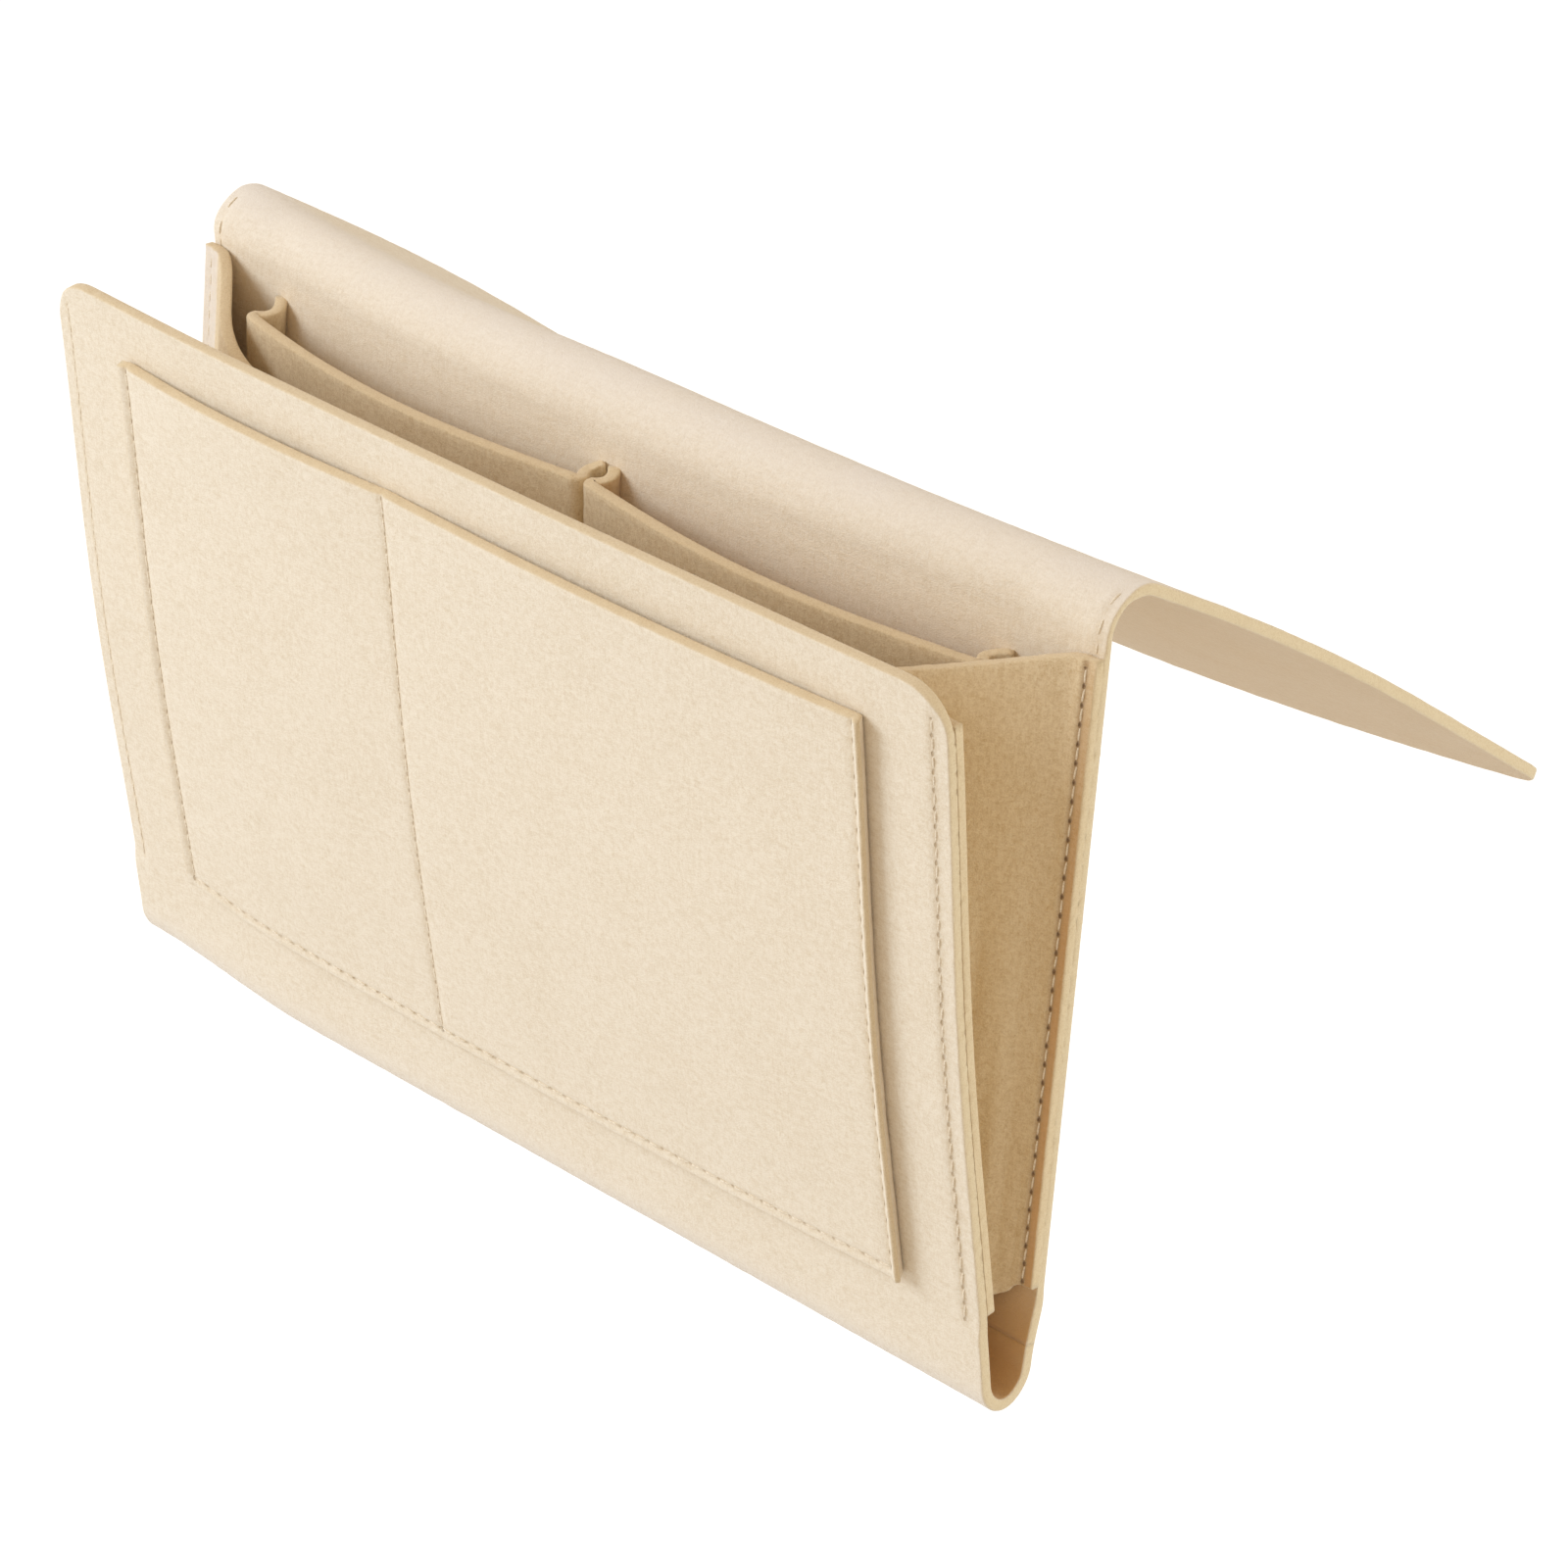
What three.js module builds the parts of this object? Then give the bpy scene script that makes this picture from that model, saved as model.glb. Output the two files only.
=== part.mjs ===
// Felt storage bag that hangs by a long rear flap.
//
// One long felt sheet makes the front panel, the bottom fold, the back panel, the top
// bend and the flap. A felt strip closes each end as a gusset that folds inward. A flat
// patch with two pockets is sewn on the front, and a pleated sheet makes two pockets on
// the inside of the back panel.
//
// Units are millimetres and degrees. X runs along the bag, -Y is its front, +Z is up.

import * as THREE from 'three';

// Felt
const FELT = 3.5; // thickness of every sheet
const GAP = 0.3; // space left between two sheets that are sewn together

// Shell
const WIDTH = 340;
const BACK_HEIGHT = 210; // back panel, from the bottom fold to the top bend
const FRONT_RISE = 9.5; // how much further the front panel reaches up from the bottom fold
const BASE_RADIUS = 7.5; // inside of the bottom fold
const LEAN = 10.8; // front panel from the upright back panel
const FRONT_CORNER = 14; // round top corners of the front panel
const BEND_RADIUS = 9.5; // inside of the top bend
const HOLLOW = 8; // how far the back panel's top edge curves forward at mid-span
const HOLLOW_INSET = 28; // level margins at its sides, where the gussets fold against it
const HOLLOW_FLOOR = 40; // width of the level strip in the middle of a hollow

// Flap
const FLAP_LENGTH = 205; // along the felt, from the end of the top bend
const FLAP_STRAIGHT = 68; // flat stretch at its free end
const FLAP_SLOPE = 26; // below the horizontal where it leaves the bend
const FLAP_CURL = 10; // what it turns further down before the flat stretch
const FLAP_CORNER = 14; // round corners at the free end
const FLAP_SAG = 6; // how much lower its flat stretch hangs at mid-span

// Patch on the front panel
const PATCH_INSET = 28; // from the sides of the front panel
const PATCH_DROP = 15.5; // from its top edge
const PATCH_BOTTOM = 27; // above the bottom fold

// Gussets
const GUSSET_BOTTOM = 24.8; // above the bottom fold
const GUSSET_DROP = 1.7; // from the start of the top bend down to their top edges
const FLANGE_WIDTH = 5; // sewn edge, on the front and on the back panel
const FLANGE_PROUD = 1.2; // how far it stands out past the edge of the panels
const WEB_ANGLE = 60.9; // each half of the web, from square to its panel
const WEB_SLOPE = 13; // its top and bottom edges fall towards the crease
const WEB_EASE = 2; // cut off the crease at its bottom end, which binds first as the bag opens

// Inner pockets
const POCKET_INSET = 34; // from the sides of the back panel to the outer folded ends
const POCKET_DROP = 10; // from the start of the top bend down to their mouths
const POCKET_SEAM = 28; // height of the seam under both pockets
const POCKET_HEM = 6; // felt below the seam
const POCKET_CLEAR = 1.1; // between an outer folded end and the web in front of it
const POCKET_BULGE = 4.5; // how much further a mouth stands out half way along
const PLEAT_SPREAD = 6.5; // how far the outer pleats slant outward to the back panel
const PLEAT_BOW = 3; // how far the two middle pleats bow apart
const PLEAT_START = 0.12; // share of the pocket's height where the pleats begin

// Smoothness of the curves
const FOLD_STEPS = 14;
const SPAN_STEPS = 7;
const RISE_STEPS = 6;
const CORNER_STEPS = 6;
const FLAP_STEPS = 8;
const BEAD_STEPS = 6;
const BULGE_STEPS = 8;
const PLEAT_STEPS = 4;

// Sizes that follow from the ones above
const BASE_OUTER = BASE_RADIUS + FELT;
const BEND_OUTER = BEND_RADIUS + FELT;
const BEND_Y = BASE_OUTER + BEND_RADIUS; // centre of the top bend
const LAYER_Y = BASE_RADIUS - GAP - FELT / 2; // middle of a sheet sewn to the back panel
const FLANGE_OUTER = WIDTH / 2 + FLANGE_PROUD;
const FLANGE_INNER = FLANGE_OUTER - FLANGE_WIDTH;
const WEB_FOLD_X = FLANGE_INNER - GAP - FELT / 2;
const FRONT_HEIGHT = BACK_HEIGHT + FRONT_RISE;
const GUSSET_TOP = BACK_HEIGHT - GUSSET_DROP;
const PATCH_HALF = WIDTH / 2 - PATCH_INSET;
const POCKET_HALF = WIDTH / 2 - POCKET_INSET;
const POCKET_RISE = BACK_HEIGHT - POCKET_DROP - POCKET_SEAM;
const HOLLOW_HALF = WIDTH / 2 - HOLLOW_INSET;
const FLOOR_HALF = HOLLOW_FLOOR / 2;

const rad = THREE.MathUtils.degToRad;
const lerp = THREE.MathUtils.lerp;

// How far a mouth stands out at its folded ends: as far as the web beside it leaves room
const POCKET_DEPTH = (WEB_FOLD_X - POCKET_HALF) / Math.tan(rad(WEB_ANGLE))
  - FELT / 2 / Math.sin(rad(WEB_ANGLE)) - FELT / 2 - POCKET_CLEAR
  - hollow(POCKET_HALF, POCKET_SEAM + POCKET_RISE);

/** A named mesh of one piece of the cream felt. */
function felt(name, geometry) {
  const material = new THREE.MeshStandardMaterial({ color: 0xeee2cc, roughness: 0.95, metalness: 0 });
  const mesh = new THREE.Mesh(geometry, material);
  mesh.name = name;
  return mesh;
}

/** A closed solid lofted through rings, each with as many points, which run round it in turn. */
function loft(rings) {
  const count = rings[0].length;
  const positions = rings.flat().flatMap((p) => [p.x, p.y, p.z]);
  const index = [];
  for (let i = 0; i + 1 < rings.length; i += 1) {
    for (let j = 0; j < count; j += 1) {
      const a = i * count + j;
      const b = i * count + ((j + 1) % count);
      index.push(a, b, b + count, a, b + count, a + count);
    }
  }
  const last = (rings.length - 1) * count;
  // Each end is capped by strips between the two sides of its ring
  for (let j = 0; j + 1 < count / 2; j += 1) {
    const k = count - 1 - j;
    index.push(j, k, k - 1, j, k - 1, j + 1);
    index.push(last + j, last + j + 1, last + k - 1, last + j, last + k - 1, last + k);
  }
  const geometry = new THREE.BufferGeometry();
  geometry.setAttribute('position', new THREE.Float32BufferAttribute(positions, 3));
  geometry.setIndex(signedVolume(positions, index) < 0 ? index.reverse() : index);
  geometry.computeVertexNormals();
  return geometry;
}

/** Six times the volume inside a closed triangle mesh, negative when its faces point inward. */
function signedVolume(positions, index) {
  const corner = (i) => new THREE.Vector3().fromArray(positions, 3 * i);
  let sum = 0;
  for (let i = 0; i < index.length; i += 3) {
    sum += corner(index[i]).dot(corner(index[i + 1]).cross(corner(index[i + 2])));
  }
  return sum;
}

/** A flat felt rectangle between two corners, as a box. */
function slab(x0, x1, y0, y1, z0, z1) {
  const box = new THREE.BoxGeometry(x1 - x0, y1 - y0, z1 - z0);
  box.translate((x0 + x1) / 2, (y0 + y1) / 2, (z0 + z1) / 2);
  return box;
}

/**
 * A sheet that is straight across the bag and bends along its length. Each station holds the
 * two faces as y and z, and the half width there.
 */
function straightSheet(stations) {
  return loft(stations.map(({ faceA, faceB, half }) => [
    new THREE.Vector3(-half, faceA.x, faceA.y),
    new THREE.Vector3(half, faceA.x, faceA.y),
    new THREE.Vector3(half, faceB.x, faceB.y),
    new THREE.Vector3(-half, faceB.x, faceB.y),
  ]));
}

/** Share of a hollow across the bag: 1 over its level strip, and 0 in the margins. */
function dish(x) {
  const rise = Math.max(Math.abs(x) - FLOOR_HALF, 0) / (HOLLOW_HALF - FLOOR_HALF);
  return Math.max(1 - rise ** 2, 0);
}

/** How far the back panel, with what is sewn to it, stands forward. It grows above the pockets' seam. */
function hollow(x, z) {
  const share = (z - POCKET_SEAM) / (BACK_HEIGHT - POCKET_SEAM);
  return HOLLOW * dish(x) * THREE.MathUtils.clamp(share, 0, 1);
}

/**
 * A sheet that is hollow across the bag and bends along its length. Each station holds its two
 * faces and its half width as in a straight sheet, how high it lies on the back panel, and how
 * much lower it hangs at mid-span.
 */
function hollowSheet(stations) {
  const steps = Array.from({ length: SPAN_STEPS + 1 }, (_, i) => (
    lerp(FLOOR_HALF, HOLLOW_HALF, i / SPAN_STEPS) / (WIDTH / 2)
  ));
  const span = [-1, ...steps.toReversed().map((share) => -share), ...steps, 1];
  return loft(stations.map(({ faceA, faceB, half, height, sag }) => {
    const point = (face, share) => {
      const x = half * share;
      return new THREE.Vector3(x, face.x - hollow(x, height), face.y - sag * dish(x));
    };
    return [
      ...span.map((share) => point(faceA, share)),
      ...span.toReversed().map((share) => point(faceB, share)),
    ];
  }));
}

/** Distances from a round-cornered edge at which the outline needs a station, nearest last. */
function cornerDistances(radius) {
  return Array.from({ length: CORNER_STEPS + 1 }, (_, i) => (
    radius * (1 - Math.sin(rad(90 * i / CORNER_STEPS)))
  ));
}

/** Half width of a sheet at a distance from its round-cornered edge. */
function cornerHalf(distance, radius) {
  const rise = Math.max(radius - distance, 0);
  return WIDTH / 2 - radius + Math.sqrt(Math.max(radius ** 2 - rise ** 2, 0));
}

/** An arc of felt about the point (y, z), from one direction to another, in degrees from +Y up. */
function foldStations(y, z, inner, from, to) {
  return Array.from({ length: FOLD_STEPS + 1 }, (_, i) => {
    const angle = rad(lerp(from, to, i / FOLD_STEPS));
    const at = (radius) => new THREE.Vector2(y + radius * Math.cos(angle), z + radius * Math.sin(angle));
    return { faceA: at(inner), faceB: at(inner + FELT), half: WIDTH / 2 };
  });
}

/** Back panel: flat up to the seam of the inner pockets, and hollow above it. */
function backPanel() {
  const rises = Array.from({ length: RISE_STEPS + 1 }, (_, i) => (
    lerp(POCKET_SEAM, BACK_HEIGHT - GAP, i / RISE_STEPS)
  ));
  return hollowSheet([GAP, ...rises].map((height) => ({
    faceA: new THREE.Vector2(BASE_RADIUS, height),
    faceB: new THREE.Vector2(BASE_OUTER, height),
    half: WIDTH / 2,
    height,
    sag: 0,
  })));
}

/** Front panel, upright: the front group leans it. */
function frontPanel() {
  const heights = [GAP, ...cornerDistances(FRONT_CORNER).map((d) => FRONT_HEIGHT - d)];
  return straightSheet(heights.map((height) => ({
    faceA: new THREE.Vector2(-BASE_OUTER, height),
    faceB: new THREE.Vector2(-BASE_RADIUS, height),
    half: cornerHalf(FRONT_HEIGHT - height, FRONT_CORNER),
  })));
}

/** Place on the flap's upper face, a length along the felt from the top bend, and its slope. */
function flapPoint(length) {
  const curved = FLAP_LENGTH - FLAP_STRAIGHT;
  const bend = Math.min(length, curved);
  const turn = FLAP_CURL * bend / curved;
  const middle = rad(FLAP_SLOPE + turn / 2);
  const slope = rad(FLAP_SLOPE + turn);
  const chord = turn > 0 ? bend * Math.sin(rad(turn / 2)) / rad(turn / 2) : bend;
  const rest = length - bend;
  const start = rad(FLAP_SLOPE);
  return {
    y: BEND_Y + BEND_OUTER * Math.sin(start) + chord * Math.cos(middle) + rest * Math.cos(slope),
    z: BACK_HEIGHT + BEND_OUTER * Math.cos(start) - chord * Math.sin(middle) - rest * Math.sin(slope),
    slope,
  };
}

/** Same place on the flap's underside. */
function flapUnderside(length) {
  const { y, z, slope } = flapPoint(length);
  return new THREE.Vector2(y - FELT * Math.sin(slope), z - FELT * Math.cos(slope));
}

/** How much lower the flap hangs at mid-span, a length from the top bend. */
function flapSag(length) {
  return FLAP_SAG * THREE.MathUtils.smoothstep(length, 0, FLAP_LENGTH - FLAP_STRAIGHT);
}

/** Top bend, an arc with the hollow of the back panel's top edge. */
function topBend() {
  return hollowSheet(foldStations(BEND_Y, BACK_HEIGHT, BEND_RADIUS, 180, 90 - FLAP_SLOPE).map((station) => (
    { ...station, height: BACK_HEIGHT, sag: 0 }
  )));
}

/** Flap: it curls down and sags, then runs straight to its round-cornered end. */
function flap() {
  const curved = FLAP_LENGTH - FLAP_STRAIGHT;
  const steps = Array.from({ length: FLAP_STEPS + 1 }, (_, i) => Math.max(GAP, curved * i / FLAP_STEPS));
  const corner = cornerDistances(FLAP_CORNER).map((d) => FLAP_LENGTH - d);
  return hollowSheet([...steps, ...corner].map((length) => {
    const { y, z } = flapPoint(length);
    return {
      faceA: new THREE.Vector2(y, z),
      faceB: flapUnderside(length),
      half: cornerHalf(FLAP_LENGTH - length, FLAP_CORNER),
      height: BACK_HEIGHT,
      sag: flapSag(length),
    };
  }));
}

/** Sewn edge of a gusset. The front one is its mirror image, seen from the front group. */
function flange(side, face) {
  const y = face * LAYER_Y;
  const x0 = side * FLANGE_INNER;
  const x1 = side * FLANGE_OUTER;
  return slab(Math.min(x0, x1), Math.max(x0, x1), y - FELT / 2, y + FELT / 2, GUSSET_BOTTOM, GUSSET_TOP);
}

/** Width of half a web at a height on its fold line, up to the plane midway between the panels. */
function webWidth(height) {
  const half = rad(LEAN / 2);
  const toMiddle = LAYER_Y * Math.cos(half) + height * Math.sin(half);
  return (toMiddle - FELT / 2 - GAP / 2) / (Math.cos(rad(WEB_ANGLE)) * Math.cos(half));
}

/**
 * Half of a gusset's web: a flat sheet that widens upward, with a round fold along both of its
 * long edges. It turns about the line x = side * WEB_FOLD_X, y = face * LAYER_Y.
 */
function web(side, face) {
  const round = Array.from({ length: BEAD_STEPS + 1 }, (_, i) => rad(90 - 180 * i / BEAD_STEPS));
  const fall = Math.tan(rad(WEB_SLOPE));
  const ring = (height, ease) => {
    // The width is taken where the sloping edge meets the crease
    const width = webWidth(height - fall * webWidth(height)) - ease;
    const outline = [
      ...round.map((a) => [width + FELT / 2 * Math.cos(a), FELT / 2 * Math.sin(a)]),
      ...round.map((a) => [-FELT / 2 * Math.cos(a), -FELT / 2 * Math.sin(a)]),
    ];
    return outline.map(([u, t]) => {
      const point = new THREE.Vector3(-side * u, side * t, height - fall * u);
      point.applyAxisAngle(new THREE.Vector3(0, 0, 1), side * rad(90 - WEB_ANGLE));
      point.x += side * WEB_FOLD_X;
      point.y = face * (point.y + LAYER_Y);
      return point;
    });
  };
  return loft([ring(GUSSET_BOTTOM, WEB_EASE), ring(GUSSET_TOP, 0)]);
}

/** How far the middle of a pocket's wall stands in front of its seam, at a share of its height. */
function pocketReach(across, share) {
  return (POCKET_DEPTH + POCKET_BULGE * Math.sin(Math.PI * across)) * share;
}

/** Front wall of an inner pocket, bulging forward between its two folded ends. */
function pocketWall(side) {
  const heights = [POCKET_SEAM + GAP / 2, POCKET_SEAM + POCKET_RISE];
  return loft(heights.map((height) => {
    const share = (height - POCKET_SEAM) / POCKET_RISE;
    const along = Array.from({ length: BULGE_STEPS + 1 }, (_, i) => i / BULGE_STEPS);
    const point = (across, offset) => {
      const x = side * lerp(GAP / 2, POCKET_HALF, across);
      const y = LAYER_Y - hollow(x, height) - pocketReach(across, share) + offset;
      return new THREE.Vector3(x, y, height);
    };
    return [
      ...along.map((across) => point(across, -FELT / 2)),
      ...along.toReversed().map((across) => point(across, FELT / 2)),
    ];
  }));
}

/** Pleat between a folded end of a pocket's wall and the back panel, narrowing to nothing below. */
function pleat(side, outer) {
  const wallX = outer ? POCKET_HALF - FELT / 2 : (FELT + GAP) / 2;
  const shares = Array.from({ length: RISE_STEPS + 1 }, (_, i) => lerp(PLEAT_START, 1, i / RISE_STEPS));
  return loft(shares.map((share) => {
    const front = LAYER_Y - pocketReach(0, share) + FELT / 2 + GAP;
    const back = LAYER_Y + FELT / 2;
    const spread = outer ? PLEAT_SPREAD * share : 0;
    const bow = outer ? 0 : PLEAT_BOW * share;
    const steps = Array.from({ length: PLEAT_STEPS + 1 }, (_, i) => i / PLEAT_STEPS);
    const height = POCKET_SEAM + POCKET_RISE * share;
    const point = (t, offset) => {
      const x = side * (wallX + spread * t + bow * Math.sin(Math.PI * t) + offset);
      return new THREE.Vector3(x, lerp(front, back, t) - hollow(x, height), height);
    };
    return [
      ...steps.map((t) => point(t, -FELT / 2)),
      ...steps.toReversed().map((t) => point(t, FELT / 2)),
    ];
  }));
}

// Back panel, bottom fold and what is sewn to the back panel
const back = new THREE.Group();
back.add(
  felt('back_panel', backPanel()),
  felt('bottom_fold', straightSheet(foldStations(0, 0, BASE_RADIUS, 0, LEAN - 180))),
  felt('pocket_hem', slab(
    -POCKET_HALF,
    POCKET_HALF,
    LAYER_Y - FELT / 2,
    LAYER_Y + FELT / 2,
    POCKET_SEAM - POCKET_HEM,
    POCKET_SEAM - GAP / 2,
  )),
);

// Front panel and what is sewn to it, leaning about the middle of the bottom fold
const front = new THREE.Group();
front.rotation.x = rad(LEAN);
front.add(
  felt('front_panel', frontPanel()),
  felt('front_patch', slab(
    -PATCH_HALF,
    PATCH_HALF,
    -BASE_OUTER - GAP - FELT,
    -BASE_OUTER - GAP,
    PATCH_BOTTOM,
    FRONT_HEIGHT - PATCH_DROP,
  )),
);

for (const [name, side] of [['left', -1], ['right', 1]]) {
  back.add(
    felt(`${name}_rear_flange`, flange(side, 1)),
    felt(`${name}_rear_web`, web(side, 1)),
    felt(`${name}_pocket_wall`, pocketWall(side)),
    felt(`${name}_outer_pleat`, pleat(side, true)),
    felt(`${name}_inner_pleat`, pleat(side, false)),
  );
  front.add(
    felt(`${name}_front_web`, web(side, -1)),
    felt(`${name}_front_flange`, flange(side, -1)),
  );
}

// Top bend and flap
const top = new THREE.Group();
top.add(
  felt('top_bend', topBend()),
  felt('flap', flap()),
);

// The origin is on the flap's underside, in the middle of its flat stretch
const hold = flapUnderside(FLAP_LENGTH - FLAP_STRAIGHT / 2).sub(new THREE.Vector2(HOLLOW, FLAP_SAG));
const bag = new THREE.Group();
bag.name = 'felt_storage_bag';
bag.position.set(0, -hold.x, -hold.y);
bag.add(back, front, top);

export default bag;
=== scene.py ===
"""Felt storage bag that hangs by a long rear flap, dressed in fine felt sheets and thread.

Lengths are metres and angles are degrees. The sizes are given in the bag's own frame, whose
origin is the middle of the bottom fold: X runs along the bag, -Y is its front, +Z is up.
"""

import logging
import math
from collections.abc import Callable
from dataclasses import dataclass, field
from enum import Enum

import bpy
import numpy as np
from mathutils import Matrix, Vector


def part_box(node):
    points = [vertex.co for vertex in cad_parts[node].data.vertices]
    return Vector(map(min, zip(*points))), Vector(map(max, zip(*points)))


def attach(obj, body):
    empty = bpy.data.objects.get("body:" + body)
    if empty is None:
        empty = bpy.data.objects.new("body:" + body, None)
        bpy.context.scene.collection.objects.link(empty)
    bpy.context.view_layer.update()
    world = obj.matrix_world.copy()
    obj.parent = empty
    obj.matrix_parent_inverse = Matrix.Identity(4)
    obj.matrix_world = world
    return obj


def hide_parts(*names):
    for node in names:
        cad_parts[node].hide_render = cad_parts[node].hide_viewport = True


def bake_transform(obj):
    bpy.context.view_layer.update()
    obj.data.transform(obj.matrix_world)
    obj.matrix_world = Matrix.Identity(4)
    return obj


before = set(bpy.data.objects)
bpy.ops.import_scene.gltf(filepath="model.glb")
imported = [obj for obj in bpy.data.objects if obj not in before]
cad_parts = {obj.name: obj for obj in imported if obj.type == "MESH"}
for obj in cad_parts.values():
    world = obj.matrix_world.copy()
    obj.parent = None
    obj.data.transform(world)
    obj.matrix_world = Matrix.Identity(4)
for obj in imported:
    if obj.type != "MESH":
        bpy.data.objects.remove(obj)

Array = np.ndarray
Triple = tuple[float, float, float]
Colour = Triple

MM = 0.001
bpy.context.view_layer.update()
log = logging.getLogger("felt_bag")


class Side(Enum):
    """An end of the bag, as the sign of its x."""

    LEFT = -1
    RIGHT = 1

    @property
    def label(self) -> str:
        """Word that begins the names of the pieces at this end."""
        return self.name.lower()


class Panel(Enum):
    """The panel that half a gusset is sewn to."""

    REAR = "rear"
    FRONT = "front"


# ---------------------------------------------------------------------------
# Shapes
# ---------------------------------------------------------------------------

def linear(red: int, green: int, blue: int) -> Colour:
    """A screen colour of 0 to 255 as linear light, by the power 2.2."""
    return (red / 255) ** 2.2, (green / 255) ** 2.2, (blue / 255) ** 2.2


def smooth(value: Array) -> Array:
    """Rises from 0 to 1 as value does, level at both: 3 v^2 - 2 v^3."""
    share = np.clip(value, 0, 1)
    return share * share * (3 - 2 * share)


def bell(distance: Array, width: float) -> Array:
    """A rounded bump of height 1: e to the power -(distance / width)^2."""
    return np.exp(-(distance / width) ** 2)


def within(value: Array, low: float, high: float, ease: float) -> Array:
    """1 between low and high and 0 outside, changing smoothly over ease at each end."""
    return smooth((value - low) / ease + 0.5) * smooth((high - value) / ease + 0.5)


def unevenness(points: Array, length: float, seed: int, waves: int = 14) -> Array:
    """Smooth random height of about -1 to 1.

    It is the sum of sines of the points along seeded directions, each with its own phase and a
    wavelength near the one given, divided by the root of their number.

    Args:
        points: places in space, with x, y and z last.
        length: typical wavelength.
        seed: seed of the directions and phases.
        waves: how many sines are added.

    Returns:
        One height for each point.
    """
    rng = np.random.default_rng(seed)
    heading = rng.normal(size=(3, waves))
    heading /= np.linalg.norm(heading, axis=0) * length * rng.uniform(0.6, 1.7, waves)
    return np.sin(2 * np.pi * (points @ heading + rng.uniform(0, 1, waves))).sum(axis=-1) / waves**0.5


def stations(start: float, stop: float, step: float, close: tuple = (), fine: float = 0.0) -> Array:
    """Places from start to stop, nearer together around some of them.

    The local spacing is step less a bell around each close place, and the stations are where
    the integral of one over the spacing passes whole numbers.

    Args:
        start: first place.
        stop: last place.
        step: spacing away from the close places.
        close: places around which the spacing is fine.
        fine: spacing there.

    Returns:
        The places, both ends included.
    """
    sample = np.linspace(start, stop, 4000)
    near = np.zeros_like(sample)
    for place in close:
        near = np.maximum(near, bell(sample - place, 2.4 * MM))
    density = 1 / (step - (step - fine) * near)
    total = np.concatenate([[0], np.cumsum((density[1:] + density[:-1]) / 2 * np.diff(sample))])
    return np.interp(np.linspace(0, total[-1], math.ceil(total[-1]) + 1), total, sample)


@dataclass(frozen=True)
class FeltStock:
    """The felt that every sheet is cut from."""

    thickness: float = 3.5 * MM
    gap: float = 0.3 * MM
    swell: float = 0.12 * MM
    rim: float = 0.55 * MM
    ragged: float = 0.11 * MM
    ragged_wave: float = 2.6 * MM  # typical wavelength of a cut edge
    uneven: float = 0.05 * MM
    uneven_wave: float = 7 * MM  # and of a face
    cut: tuple[float, ...] = (0.75, 1, 1, 1, 0.75)  # how much each ring of an edge is cut felt
    pinch: float = 0.85 * MM  # how far a sewn edge is pressed in beyond its seam
    sunk: float = 0.45 * MM  # depth of the groove along a seam
    snug: float = 0.145 * MM  # how far a sewn face swells towards the sheet under it

    @property
    def half(self) -> float:
        """From the middle of a sheet to its face."""
        return self.thickness / 2

    def pressed(self, beyond: Array | float) -> Array:
        """How far a face is pressed in at a distance beyond its seam: the pinch, over 3 mm."""
        return self.pinch * smooth((beyond + MM) / (3 * MM))

    def at_seam(self) -> float:
        """From the middle of a sheet to the bottom of the groove along its seam."""
        return self.half - float(self.pressed(0.0)) - self.sunk


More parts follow.
